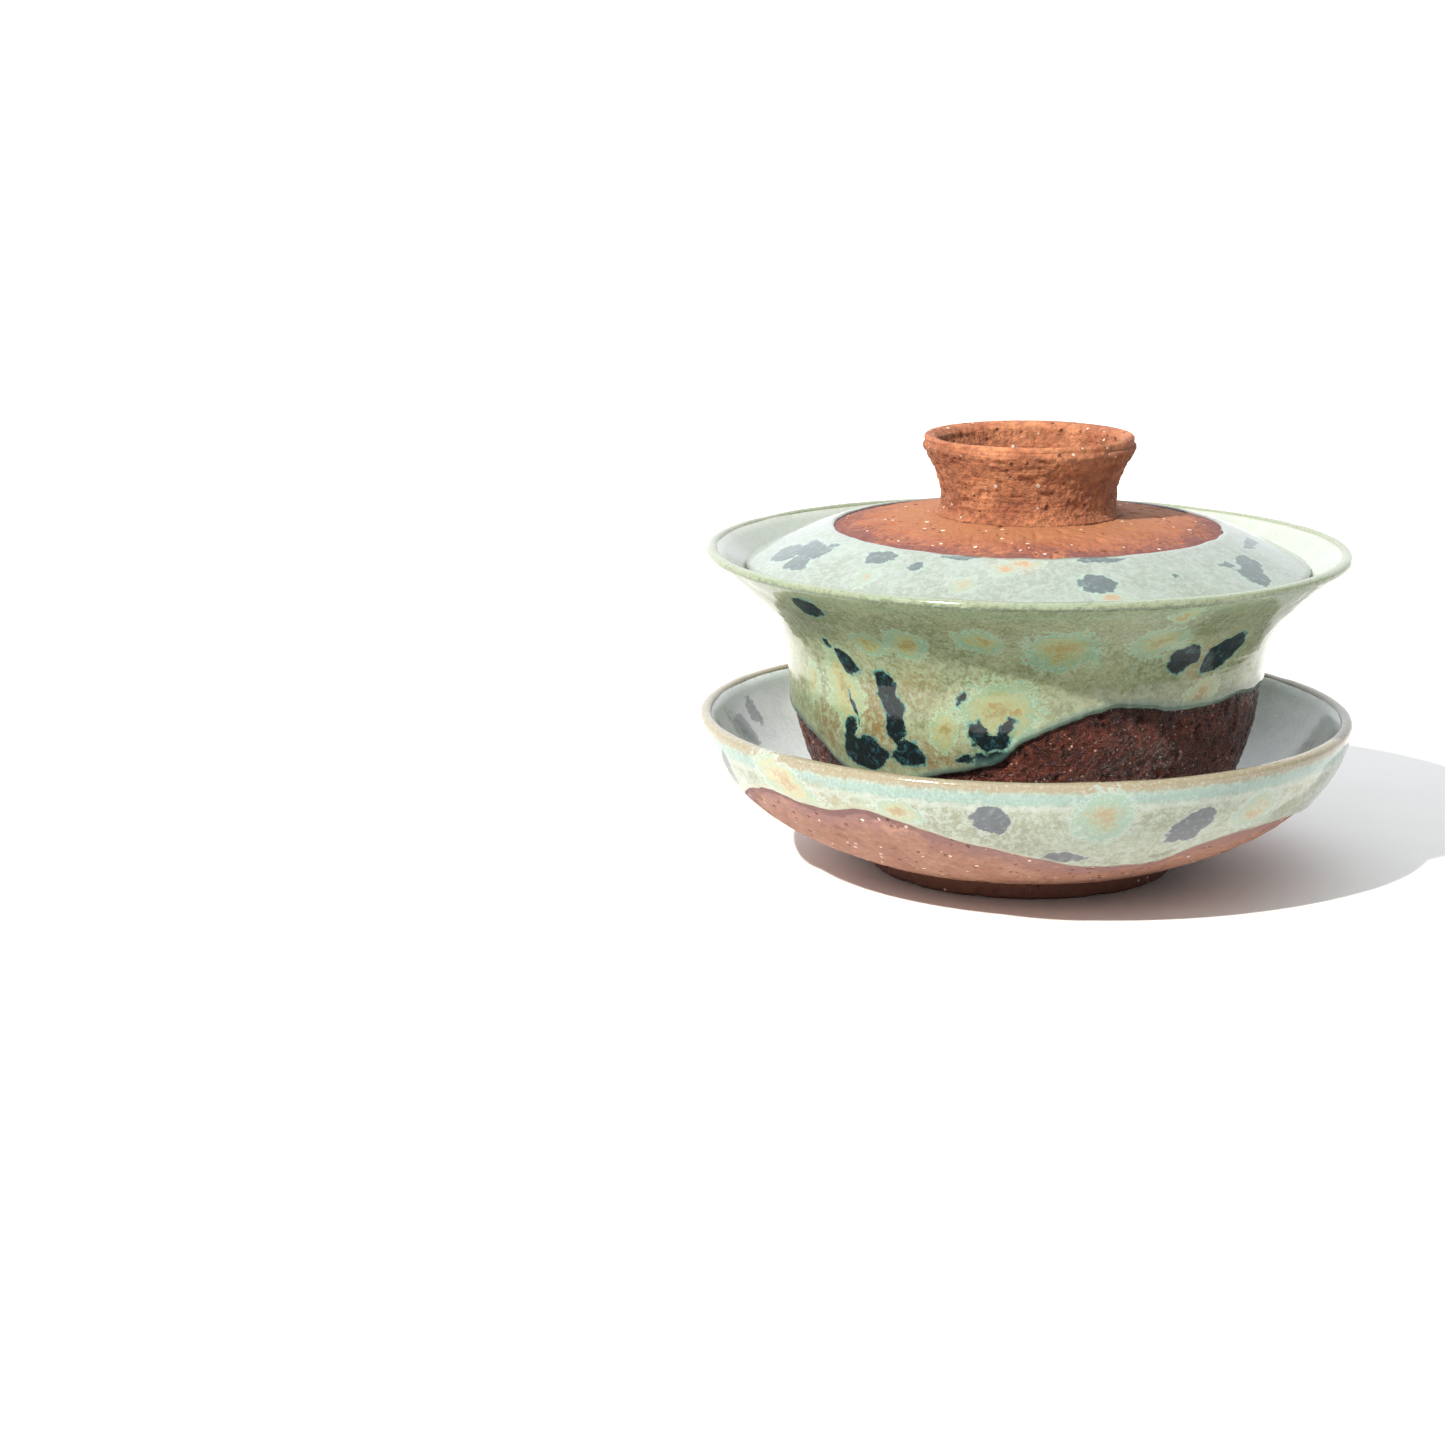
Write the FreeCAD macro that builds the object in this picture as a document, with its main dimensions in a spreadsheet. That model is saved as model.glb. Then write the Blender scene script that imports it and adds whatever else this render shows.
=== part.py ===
import FreeCAD, Part
import math
import os
import Sketcher

# A gaiwan, turned in stoneware: a saucer, a handleless cup that stands in its well, and a
# lid with a ring knob that rests inside the cup's flared mouth.  Every clay piece carries
# its glaze coats as thin solids of their own, and all of them share the clay's own curves.
#
# Millimetres, +Z up.  The origin is the centre of the saucer's foot ring, on the table.
# Each piece is drawn about its own foot or edge and lifted to its seat by its Placement.

os.makedirs("parts", exist_ok=True)
doc = FreeCAD.newDocument("gaiwan")
Vector = FreeCAD.Vector

# ---------------------------------------------------------------- driving dimensions
dimensions = {
    # saucer clay, heights from the table
    "saucer_rim_radius": (52.8, "outside of the clay lip"),
    "saucer_rim_height": (25.2, "where the lip's rounding starts"),
    "saucer_lip_wall": (1.5, "clay thickness across the lip"),
    "saucer_lip_crown": (0.5, "rounding pulled up over the lip"),
    "saucer_wall": (3.0, "clay thickness of the side"),
    "saucer_foot_radius": (25.2, "outside of the foot where it meets the bowl"),
    "saucer_foot_height": (4.3, "foot ring, outside"),
    "saucer_foot_wall": (4.7, "width of the foot ring"),
    "saucer_recess": (3.0, "depth of the hollow inside the foot ring"),
    "saucer_floor_height": (7.0, "clay floor of the well"),
    # cup clay, heights from the cup's own foot
    "cup_rim_radius": (51.9, "outside of the clay lip"),
    "cup_rim_height": (44.6, "where the lip's rounding starts"),
    "cup_lip_wall": (1.6, "clay thickness straight across the lip"),
    "cup_lip_crown": (0.5, "rounding pulled up over the lip"),
    "cup_wall": (3.0, "clay thickness of the side"),
    "cup_flare_wall": (1.7, "clay thickness of the flared mouth"),
    "cup_flare_radius": (43.5, "outside, where the straight flare starts"),
    "cup_flare_drop": (7.4, "height of the straight flare"),
    "cup_foot_radius": (21.3, "outside of the foot where it meets the bowl"),
    "cup_foot_height": (3.7, "foot ring, outside"),
    "cup_foot_wall": (3.8, "width of the foot ring"),
    "cup_recess": (2.5, "depth of the hollow inside the foot ring"),
    "cup_floor_height": (6.5, "clay floor inside"),
    "cup_floor_radius": (24.0, "flat part of the floor inside"),
    # lid clay, heights from the lid's own edge
    "lid_seat_inset": (6.1, "how far inside the cup's rim the lid's edge lies"),
    "lid_crown_height": (9.3, "flat top that the knob stands on"),
    "lid_crown_radius": (14.4, "flat top"),
    "lid_line_radius": (31.2, "where bare clay gives way to glaze"),
    "lid_wall": (2.7, "clay thickness of the dome"),
    "lid_edge_height": (0.9, "top of the edge's rounding"),
    "lid_edge_wall": (1.6, "width of the edge that sits on the cup"),
    # ring knob, heights from the lid's flat top
    "knob_base_radius": (14.0, "outside at the foot"),
    "knob_lip_radius": (17.4, "outside at the lip"),
    "knob_height": (12.6, "overall"),
    "knob_base_wall": (3.2, "thickness at the foot"),
    "knob_lip_wall": (2.9, "thickness of the rolled lip"),
    # coats and fits
    "glaze_coat": (0.45, "outer glaze"),
    "liner_coat": (0.4, "liner glaze"),
    "foot_bevel": (0.6, "bevel on the foot rings' standing edges"),
    "foot_taper": (0.3, "how much each foot narrows to the table"),
    "well_clearance": (2.2, "flat of the well beyond the cup's foot"),
    "foot_clearance": (0.25, "air between the cup's foot and the well"),
    "lid_clearance": (0.3, "air between the lid's edge and the flare"),
}

dims = doc.addObject("Spreadsheet::Sheet", "dims")
for row, (alias, (value, note)) in enumerate(dimensions.items(), start=1):
    dims.set(f"A{row}", alias)
    dims.set(f"B{row}", str(value))
    dims.setAlias(f"B{row}", alias)
    dims.set(f"C{row}", note)
doc.recompute()

# How far the dipped glaze runs down from the lip, as (azimuth, drop) all round.  Azimuth
# is in degrees from the front, -Y, turning towards +X.
saucer_glaze_run = [(-90, 12.0), (-68, 10.7), (-50, 6.0), (-37, 6.9), (-26, 6.2), (-12, 9.0),
                    (2, 12.2), (12, 14.2), (28, 14.3), (38, 11.2), (50, 10.3), (62, 10.5),
                    (90, 13.0), (120, 9.7), (150, 12.0), (180, 14.7), (205, 12.0), (235, 9.0)]
cup_glaze_run = [(-90, 25.0), (-70, 26.1), (-57, 29.0), (-45, 32.5), (-32, 33.0), (-20, 29.5),
                 (-8, 27.0), (0, 23.4), (12, 20.3), (25, 18.6), (45, 19.7), (62, 19.6),
                 (90, 21.0), (120, 25.0), (150, 22.0), (180, 26.0), (210, 28.0), (245, 23.0)]


# ---------------------------------------------------------------- small helpers
def sized(expression):
    """The number that an expression on the sheet gives now."""
    return float(dims.evalExpression(expression))


def between(low, high, share):
    """The expression for a place that is some share of the way from low to high."""
    return f"(({low}) + {share} * (({high}) - ({low})))"


def pushed(point, lean, distance):
    """A point on a wall moved outwards, square to a wall that has turned up by lean degrees."""
    radius, height = point
    outward = math.sin(math.radians(lean))
    downward = math.cos(math.radians(lean))
    return (f"({radius}) + {outward:.4f} * ({distance})", f"({height}) - {downward:.4f} * ({distance})")


def cubic(points):
    """An open B-spline that starts on the first point and ends on the last."""
    degree = min(3, len(points) - 1)
    spans = len(points) - degree
    multiplicities = [degree + 1] + [1] * (spans - 1) + [degree + 1]
    curve = Part.BSplineCurve()
    curve.buildFromPolesMultsKnots(points, multiplicities, list(range(spans + 1)), False, degree)
    return curve


def pin(sketch, geometry, corner, point):
    """Holds one point of a sketch at the radius and height that the sheet gives."""
    radius, height = point
    for kind, expression in (("DistanceX", radius), ("DistanceY", height)):
        value = sized(expression)
        index = sketch.addConstraint(Sketcher.Constraint(kind, -1, 1, geometry, corner, value))
        sketch.setExpression(f"Constraints[{index}]", expression)


def section(body, name, runs):
    """A closed half section.  Each run is two points for a line, or more as a curve's poles."""
    sketch = body.newObject("Sketcher::SketchObject", name)
    plane = [feature for feature in body.Origin.OriginFeatures if feature.Role == "XZ_Plane"][0]
    sketch.AttachmentSupport = [(plane, "")]
    sketch.MapMode = "FlatFace"
    edges = []
    for run in runs:
        points = [Vector(sized(radius), sized(height), 0) for radius, height in run]
        if len(run) == 2:
            edge = sketch.addGeometry(Part.LineSegment(points[0], points[1]), False)
            pin(sketch, edge, 1, run[0])
        else:
            edge = sketch.addGeometry(cubic(points), False)
            sketch.exposeInternalGeometry(edge)
            poles = [constraint.First for constraint in sketch.Constraints
                     if constraint.Type == "InternalAlignment" and constraint.FirstPos == 3
                     and constraint.Second == edge]
            for pole, point in list(zip(poles, run))[:-1]:
                pin(sketch, pole, 3, point)
        edges.append(edge)
    for edge, following in zip(edges, edges[1:] + edges[:1]):
        sketch.addConstraint(Sketcher.Constraint("Coincident", edge, 2, following, 1))
    return sketch


def turned(label, runs, stand=None):
    """A body turned from one half section, standing at the height that stand gives."""
    body = doc.addObject("PartDesign::Body", label)
    body.Label = label
    sketch = section(body, label + "_section", runs)
    doc.recompute()
    revolution = body.newObject("PartDesign::Revolution", label + "_turned")
    revolution.Profile = sketch
    revolution.ReferenceAxis = (sketch, ["V_Axis"])
    revolution.Angle = 360
    body.Tip = revolution
    if stand:
        body.setExpression(".Placement.Base.z", stand)
    return body


def glaze_waste(name, rim_height, inner_radius, outer_radius, glaze_run):
    """The solid that trims a coat away below the wavy line where the dip stopped."""
    turns = [azimuth for azimuth, _ in glaze_run] + [glaze_run[0][0] + 360]

    def line_at(radius):
        points = []
        for azimuth, drop in glaze_run:
            turn = math.radians(azimuth - 90)
            points.append(Vector(radius * math.cos(turn), radius * math.sin(turn), rim_height - drop))
        curve = Part.BSplineCurve()
        curve.interpolate(Points=points, PeriodicFlag=True, Parameters=turns)
        return curve.toShape()

    top = Part.makeRuledSurface(line_at(inner_radius), line_at(outer_radius))
    waste = doc.addObject("Part::Feature", name)
    waste.Shape = top.extrude(Vector(0, 0, -2 * rim_height))
    return waste


def trimmed(label, coat, waste, stand=None):
    """A coat with its lower edge cut to the wavy line."""
    cut = doc.addObject("Part::Cut", label)
    cut.Label = label
    cut.Base = coat
    cut.Tool = waste
    if stand:
        cut.setExpression(".Placement.Base.z", stand)
    return cut


# ---------------------------------------------------------------- bowls: saucer and cup
class Bowl:
    """The runs of a footed bowl's section, shared by its clay and its two coats."""

    def __init__(self, name, outer, inner):
        self.name = name
        self.outer = outer
        self.inner = inner
        self.lip_wall = f"dims.{name}_lip_wall"
        self.rim = (f"dims.{name}_rim_radius", f"dims.{name}_rim_height")
        self.floor = f"dims.{name}_floor_height"

    def wall_runs(self, poles, offset_of):
        """The wall as runs of points, each pushed out by its own distance, foot to lip."""
        return [[pushed(point, lean, offset_of(wall)) for point, lean, wall in run] for run in poles]

    def outside(self, coat="0"):
        return self.wall_runs(self.outer, lambda wall: coat)

    def inside(self, coat="0"):
        return self.wall_runs(self.inner, lambda wall: f"-({wall}) - ({coat})")

    def lip(self, coat, liner):
        """The rounded lip from the outside over to the inside."""
        radius, height = self.rim
        crown = f"({height}) + dims.{self.name}_lip_crown + ({coat})"
        outer = f"({radius}) + ({coat})"
        inner = f"({radius}) - {self.lip_wall} - ({liner})"
        return [(outer, height), (outer, crown), (inner, crown), (inner, height)]

    def clay_runs(self):
        name = self.name
        foot, height = f"dims.{name}_foot_radius", f"dims.{name}_foot_height"
        standing = f"{foot} - dims.foot_taper"
        hollow = f"{foot} - dims.{name}_foot_wall"
        bevel, recess = "dims.foot_bevel", f"dims.{name}_recess"
        foot_points = [("0", recess), (hollow, recess), (hollow, bevel), (f"{hollow} + {bevel}", "0"),
                       (f"{standing} - {bevel}", "0"), (standing, bevel), (foot, height)]
        inside = self.inside()
        floor = [("0", self.floor), inside[0][0]]
        runs = [[start, end] for start, end in zip(foot_points, foot_points[1:])]
        runs += self.outside()
        runs.append(self.lip("0", "0"))
        runs += [run[::-1] for run in reversed(inside)]
        runs.append(floor[::-1])
        runs.append([floor[0], foot_points[0]])
        return runs

    def outer_coat_runs(self):
        """Over the outside and the lip, with the clay's own curves as its inner face."""
        coat, liner = "dims.glaze_coat", "dims.liner_coat"
        clay, glaze = self.outside()[1:], self.outside(coat)[1:]
        clay_lip, glaze_lip = self.lip("0", "0"), self.lip(coat, liner)
        runs = glaze + [glaze_lip, [glaze_lip[-1], clay_lip[-1]], clay_lip[::-1]]
        runs += [run[::-1] for run in reversed(clay)]
        runs.append([clay[0][0], glaze[0][0]])
        return runs

    def liner_runs(self):
        """Over the floor and the inside, up to the lip."""
        liner = "dims.liner_coat"
        clay, glaze = self.inside(), self.inside(liner)
        runs = [[("0", self.floor), clay[0][0]]] + clay + [[clay[-1][-1], glaze[-1][-1]]]
        runs += [run[::-1] for run in reversed(glaze)]
        runs.append([glaze[0][0], ("0", f"{self.floor} + {liner}")])
        runs.append([("0", f"{self.floor} + {liner}"), ("0", self.floor)])
        return runs


def saucer_bowl():
    foot = ("dims.saucer_foot_radius", "dims.saucer_foot_height")
    rim = ("dims.saucer_rim_radius", "dims.saucer_rim_height")
    well = ("dims.cup_foot_radius + dims.well_clearance", "dims.saucer_floor_height")

    def pole(across, up):
        return (between(foot[0], rim[0], across), between(foot[1], rim[1], up))

    wall = "dims.saucer_wall"
    underside, belly, turn, side = pole(0.15, -0.02), pole(0.44, 0.125), pole(0.72, 0.315), pole(0.96, 0.695)
    outer = [[(foot, 0, wall), (underside, 0, wall)],
             [(underside, 0, wall), (belly, 26, wall), (turn, 45, wall), (side, 75, wall),
              (rim, 90, "dims.saucer_lip_wall")]]
    level = (between(well[0], belly[0], 0.4), well[1])
    inner = [[(well, 0, "0"), (level, 0, "0"), (belly, 26, wall), (turn, 45, wall), (side, 75, wall),
              (rim, 90, "dims.saucer_lip_wall")]]
    return Bowl("saucer", outer, inner)


def cup_bowl():
    foot = ("dims.cup_foot_radius", "dims.cup_foot_height")
    rim = ("dims.cup_rim_radius", "dims.cup_rim_height")
    flare = ("dims.cup_flare_radius", "(dims.cup_rim_height - dims.cup_flare_drop)")
    floor = ("dims.cup_floor_radius", "dims.cup_floor_height")

    def pole(across, up):
        return (between(foot[0], flare[0], across), between(foot[1], flare[1], up))

    # the pole below the flare lies on the flare's own line, so the curve runs into it smoothly
    waist_back = -0.33
    waist = (between(flare[0], rim[0], waist_back), between(flare[1], rim[1], waist_back))
    wall, flare_wall = "dims.cup_wall", "dims.cup_flare_wall"
    underside, heel, low = pole(0.415, 0.015), pole(0.535, 0.033), pole(0.62, 0.2)
    belly, high = pole(0.77, 0.5), pole(0.74, 0.735)
    outer = [[(foot, 0, wall), (underside, 0, wall)],
             [(underside, 0, wall), (heel, 25, wall), (low, 70, wall), (belly, 85, wall), (high, 88, wall),
              (waist, 58, flare_wall), (flare, 41, flare_wall)],
             [(flare, 41, flare_wall), (rim, 90, "dims.cup_lip_wall")]]
    level = (between(floor[0], heel[0], 0.7), floor[1])
    inner = [[(floor, 0, "0"), (level, 0, "0"), (low, 70, wall), (belly, 85, wall), (high, 88, wall),
              (waist, 41, flare_wall), (flare, 41, flare_wall)],
             [(flare, 41, flare_wall), (rim, 90, "dims.cup_lip_wall")]]
    return Bowl("cup", outer, inner)


def make_bowl(bowl, glaze_run, stand=None):
    name = bowl.name
    body = turned(f"{name}_body", bowl.clay_runs(), stand)
    liner = turned(f"{name}_liner_glaze", bowl.liner_runs(), stand)
    coat = turned(f"{name}_coat_untrimmed", bowl.outer_coat_runs())
    rim_radius, rim_height = sized(bowl.rim[0]), sized(bowl.rim[1])
    foot_radius = sized(f"dims.{name}_foot_radius")
    waste = glaze_waste(f"{name}_glaze_waste", rim_height, foot_radius / 2, 2 * rim_radius, glaze_run)
    return [body, liner, trimmed(f"{name}_outer_glaze", coat, waste, stand)]


# ---------------------------------------------------------------- seats
seats = doc.addObject("App::VarSet", "seats")


def seat(name, expression):
    seats.addProperty("App::PropertyFloat", name, "seats")
    seats.setExpression(name, expression)


saucer = saucer_bowl()
cup = cup_bowl()
flare_low, flare_high = cup.inside("dims.liner_coat")[-1]
lid_edge_radius = "(dims.cup_rim_radius - dims.lid_seat_inset)"
edge_width = "(dims.lid_edge_wall + dims.glaze_coat)"
seat("cup_stand", "dims.saucer_floor_height + dims.liner_coat + dims.foot_clearance")
seat("flare_slope", f"(({flare_high[1]}) - ({flare_low[1]})) / (({flare_high[0]}) - ({flare_low[0]}))")
seat("seat_height", f"({flare_low[1]}) + seats.flare_slope * ({lid_edge_radius} - ({flare_low[0]}))")
# the lid's rounded edge meets the sloping flare a little above its own lowest line
seat("edge_drop", f"dims.lid_edge_height * seats.flare_slope * {edge_width}"
                  f" / (dims.lid_edge_height + seats.flare_slope * {edge_width})")
seat("lid_stand", "seats.cup_stand + seats.seat_height - seats.edge_drop + dims.lid_clearance")
seat("knob_stand", "seats.lid_stand + dims.lid_crown_height")
doc.recompute()


# ---------------------------------------------------------------- lid
def lid_runs():
    """The lid's section as named runs, crown to edge and back under."""
    coat, liner = "dims.glaze_coat", "dims.liner_coat"
    crown = ("dims.lid_crown_radius", "dims.lid_crown_height")
    edge = (f"{lid_edge_radius} - {coat}", "dims.lid_edge_height")
    line = ("dims.lid_line_radius", between(edge[1], crown[1], 0.71))
    disc = [crown, (between(crown[0], line[0], 0.35), between(line[1], crown[1], 0.92)),
            (between(crown[0], line[0], 0.7), between(line[1], crown[1], 0.54)), line]
    dome = [line, (between(line[0], edge[0], 0.35), between(edge[1], line[1], 0.78)),
            (between(line[0], edge[0], 0.69), between(edge[1], line[1], 0.345)), edge]
    dome_lean = (180, 162, 152, 90)
    skin = [pushed(point, lean, coat) for point, lean in zip(dome, dome_lean)]
    toe = (f"{edge[0]} - dims.lid_edge_wall", coat)
    edge_round = [edge, (edge[0], coat), toe]
    skin_round = [skin[-1], (skin[-1][0], "0"), (toe[0], "0")]
    ceiling = f"{crown[1]} - dims.lid_wall"
    under = [toe, (between(line[0], toe[0], 0.62), between(coat, ceiling, 0.38)),
             (line[0], between(coat, ceiling, 0.72)), (between(crown[0], line[0], 0.5), ceiling),
             (crown[0], ceiling)]
    lining = [(radius, f"({height}) - {liner}") for radius, height in under]
    return crown, disc, dome, skin, edge_round, skin_round, under, lining


def make_lid():
    crown, disc, dome, skin, edge_round, skin_round, under, lining = lid_runs()
    top, ceiling = ("0", crown[1]), ("0", under[-1][1])
    stand = "seats.lid_stand"
    clay = [[top, crown], disc, dome, edge_round, under, [under[-1], ceiling], [ceiling, top]]
    body = turned("lid_body", clay, stand)
    coat = [skin, skin_round, [skin_round[-1], edge_round[-1]], edge_round[::-1], dome[::-1],
            [dome[0], skin[0]]]
    outer = turned("lid_outer_glaze", coat, stand)
    lowest = ("0", lining[-1][1])
    lined = [under[::-1], [under[0], lining[0]], lining, [lining[-1], lowest], [lowest, ceiling],
             [ceiling, under[-1]]]
    liner = turned("lid_under_glaze", lined, stand)
    return [body, outer, liner]


def make_knob():
    """A thrown ring, open down to the lid, that widens to a rolled lip."""
    foot, lip, height = "dims.knob_base_radius", "dims.knob_lip_radius", "dims.knob_height"
    bore = f"{foot} - dims.knob_base_wall"
    rolled = "(dims.knob_lip_wall / 2)"
    shoulder = f"{height} - {rolled}"
    mouth = f"{lip} - dims.knob_lip_wall"
    outside = [(foot, "0"), (foot, between("0", shoulder, 0.3)),
               (between(foot, lip, 0.35), between("0", shoulder, 0.65)), (lip, shoulder)]
    over = [(lip, shoulder), (lip, f"{height} + {rolled} / 3"), (mouth, f"{height} + {rolled} / 3"),
            (mouth, shoulder)]
    inside = [(mouth, shoulder), (between(bore, mouth, 0.35), between("0", shoulder, 0.6)),
              (bore, between("0", shoulder, 0.3)), (bore, "0")]
    return [turned("lid_knob", [outside, over, inside, [(bore, "0"), (foot, "0")]], "seats.knob_stand")]


# ---------------------------------------------------------------- build, check, write
pieces = make_bowl(saucer, saucer_glaze_run)
pieces += make_bowl(cup, cup_glaze_run, "seats.cup_stand")
pieces += make_lid()
pieces += make_knob()
doc.recompute()

for item in doc.Objects:
    if "Invalid" in item.State or "Error" in item.State:
        raise RuntimeError(f"{item.Label}: {item.State}")
for piece in pieces:
    shape = piece.Shape
    if shape.isNull() or not shape.isValid() or len(shape.Solids) != 1:
        raise RuntimeError(f"{piece.Label}: not one valid solid")
    box = shape.BoundBox
    print(f"{piece.Label:22s} {shape.Volume / 1000:8.3f} cm3  z {box.ZMin:6.2f} to {box.ZMax:6.2f}"
          f"  radius {box.XMax:6.2f}")
for piece in pieces:
    piece.Shape.exportStep(f"parts/{piece.Label}.step")
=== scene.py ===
import math

import bmesh
import bpy
import numpy as np
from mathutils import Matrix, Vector


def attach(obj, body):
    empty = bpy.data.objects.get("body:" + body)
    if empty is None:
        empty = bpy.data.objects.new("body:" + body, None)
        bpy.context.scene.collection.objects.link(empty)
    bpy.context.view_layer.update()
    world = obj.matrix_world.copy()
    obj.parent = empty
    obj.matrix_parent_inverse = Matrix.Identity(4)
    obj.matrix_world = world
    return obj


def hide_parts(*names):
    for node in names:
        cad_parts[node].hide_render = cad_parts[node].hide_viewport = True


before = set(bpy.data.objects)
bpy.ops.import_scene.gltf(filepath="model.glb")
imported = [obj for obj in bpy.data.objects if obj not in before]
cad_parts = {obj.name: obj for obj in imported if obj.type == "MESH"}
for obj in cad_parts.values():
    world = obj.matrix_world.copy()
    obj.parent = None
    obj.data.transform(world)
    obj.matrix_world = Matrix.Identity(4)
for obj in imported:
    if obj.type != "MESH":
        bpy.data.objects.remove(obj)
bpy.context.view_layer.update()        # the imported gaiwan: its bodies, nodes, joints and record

mm = 0.001               # sizes below are in millimetres, Blender's units are metres


# Colours and nodes

def hexColour(code):
    # sRGB hex to the linear colour that a socket takes
    channels = [int(code[place:place + 2], 16) / 255 for place in (1, 3, 5)]
    return [c / 12.92 if c <= 0.04045 else ((c + 0.055) / 1.055) ** 2.4 for c in channels] + [1]


def addNode(tree, kind, feeds=None, stops=None, **settings):
    # adds a node: settings are its properties, feeds link or fill its sockets, stops its ramp
    item = tree.nodes.new("ShaderNode" + kind)
    for name, value in settings.items():
        setattr(item, name, value)
    for number, (position, code) in enumerate(stops or []):
        while len(item.color_ramp.elements) <= number:
            item.color_ramp.elements.new(1)
        item.color_ramp.elements[number].position = position
        item.color_ramp.elements[number].color = hexColour(code)
    for socket, value in (feeds or {}).items():
        if isinstance(value, bpy.types.NodeSocket):
            tree.links.new(value, item.inputs[socket])
        else:
            item.inputs[socket].default_value = hexColour(value) if isinstance(value, str) else value
    return item.outputs


def newMaterial(name):
    material = bpy.data.materials.new(name)
    material.use_nodes = True
    tree = material.node_tree
    tree.nodes.clear()
    return material, tree


# Outlines read from the CAD clay

def sectionOf(nodeName, turn=0.6):
    # the outline of a turned CAD piece in one half plane, in order, as (radius, height) in mm
    cut = bmesh.new()
    cut.from_mesh(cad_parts[nodeName].data)
    bmesh.ops.remove_doubles(cut, verts=cut.verts, dist=1e-7)
    along = Vector((math.cos(turn), math.sin(turn), 0))
    across = Vector((-math.sin(turn), math.cos(turn), 0))
    everything = cut.verts[:] + cut.edges[:] + cut.faces[:]
    bmesh.ops.bisect_plane(cut, geom=everything, dist=1e-8, plane_co=(0, 0, 0), plane_no=along,
                           clear_inner=True)
    everything = cut.verts[:] + cut.edges[:] + cut.faces[:]
    found = bmesh.ops.bisect_plane(cut, geom=everything, dist=1e-8, plane_co=(0, 0, 0), plane_no=across)
    neighbours = {}
    for edge in [item for item in found["geom_cut"] if isinstance(item, bmesh.types.BMEdge)]:
        first, second = edge.verts
        neighbours.setdefault(first, []).append(second)
        neighbours.setdefault(second, []).append(first)
    ends = [vert for vert in neighbours if len(neighbours[vert]) == 1]
    here = min(ends or neighbours, key=lambda vert: (round(vert.co.z, 6), -vert.co.dot(along)))
    path, seen = [here], {here}
    while True:
        onward = [vert for vert in neighbours[here] if vert not in seen]
        if not onward:
            break
        here = max(onward, key=lambda vert: vert.co.dot(along)) if len(path) == 1 else onward[0]
        path.append(here)
        seen.add(here)
    outline = np.array([(vert.co.dot(along), vert.co.z) for vert in path]) / mm
    cut.free()
    return outline


def evenly(points, step=0.1, corner=28):
    # the same outline at even steps: curved between its points, sharp where it turns a corner
    leg = np.diff(points, axis=0)
    length = np.hypot(*leg.T)
    keep = np.append(length > 1e-4, True)
    points = points[keep]
    leg = np.diff(points, axis=0)
    length = np.hypot(*leg.T)
    way = leg / length[:, None]
    bend = np.degrees(np.arccos(np.clip((way[1:] * way[:-1]).sum(1), -1, 1)))
    slope = (way[1:] * length[:-1, None] + way[:-1] * length[1:, None]) / (length[1:] + length[:-1])[:, None]
    smooth = bend < corner
    start = np.vstack([way[:1], np.where(smooth[:, None], slope, way[1:])])
    finish = np.vstack([np.where(smooth[:, None], slope, way[:-1]), way[-1:]])
    pieces = []
    for a, b, m, n, size in zip(points[:-1], points[1:], start, finish, length):
        u = np.linspace(0, 1, max(2, int(size / step) + 1))[:-1, None]
        pieces.append((2 * u ** 3 - 3 * u ** 2 + 1) * a + (u ** 3 - 2 * u ** 2 + u) * size * m
                      + (3 * u ** 2 - 2 * u ** 3) * b + (u ** 3 - u ** 2) * size * n)
    dense = np.vstack(pieces + [points[-1:]])
    run = np.append(0, np.cumsum(np.hypot(*np.diff(dense, axis=0).T)))
    even = np.arange(0, run[-1], step)
    return np.column_stack([np.interp(even, run, dense[:, 0]), np.interp(even, run, dense[:, 1])])


def softened(values, width, step=0.1):
    # a running average along an outline, with its two ends held
    reach = max(1, int(width / step))
    weight = np.hanning(2 * reach + 3)[1:-1]
    padded = np.concatenate([2 * values[:1] - values[reach:0:-1], values,
                             2 * values[-1:] - values[-2:-reach - 2:-1]])
    return np.convolve(padded, weight / weight.sum(), "valid")


def outlineOf(points, turningPoint, outsideFirst=True, rounding=0.5):
    # arc length along the clay from its turning point: above 0 outside, below 0 inside
    if not outsideFirst:
        points = points[::-1]
    points = evenly(points)
    radius, height = softened(points[:, 0], rounding), softened(points[:, 1], rounding)
    crest = int(np.argmax(height if turningPoint == "top" else radius))
    run = np.append(0, np.cumsum(np.hypot(np.diff(radius), np.diff(height))))
    outward = 1 if outsideFirst else -1
    normal = np.column_stack([np.gradient(height), -np.gradient(radius)]) * outward
    normal = np.column_stack([softened(normal[:, 0], rounding), softened(normal[:, 1], rounding)])
    normal /= np.hypot(*normal.T)[:, None]
    along = run[crest] - run
    return {"along": along[::-1], "radius": radius[::-1], "height": height[::-1],
            "outR": normal[::-1, 0], "outZ": normal[::-1, 1], "inside": along[-1], "outside": along[0]}


def onOutline(outline, along, push=0.0):
    # the radius and height at an arc length, pushed off the clay
    radius, height, outR, outZ = [np.interp(along, outline["along"], outline[part])
                                  for part in ("radius", "height", "outR", "outZ")]
    return np.maximum(radius + outR * push, 0), height + outZ * push


def alongAtDrop(outline, drop):
    # the arc length down the outside where it is drop below its highest point
    outer = outline["along"] > 0
    fallen = outline["height"].max() - np.minimum.accumulate(outline["height"][outer])
    return np.interp(drop, fallen, outline["along"][outer])


def alongAt(outline, value, measure="height", inside=False):
    # the arc length where the outline passes a height or a radius, outside or inside
    side = outline["along"] <= 0 if inside else outline["along"] >= 0
    along, there = outline["along"][side], outline[measure][side]
    return float(along[int(np.argmin(np.abs(there - value)))])


# Turned meshes

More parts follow.
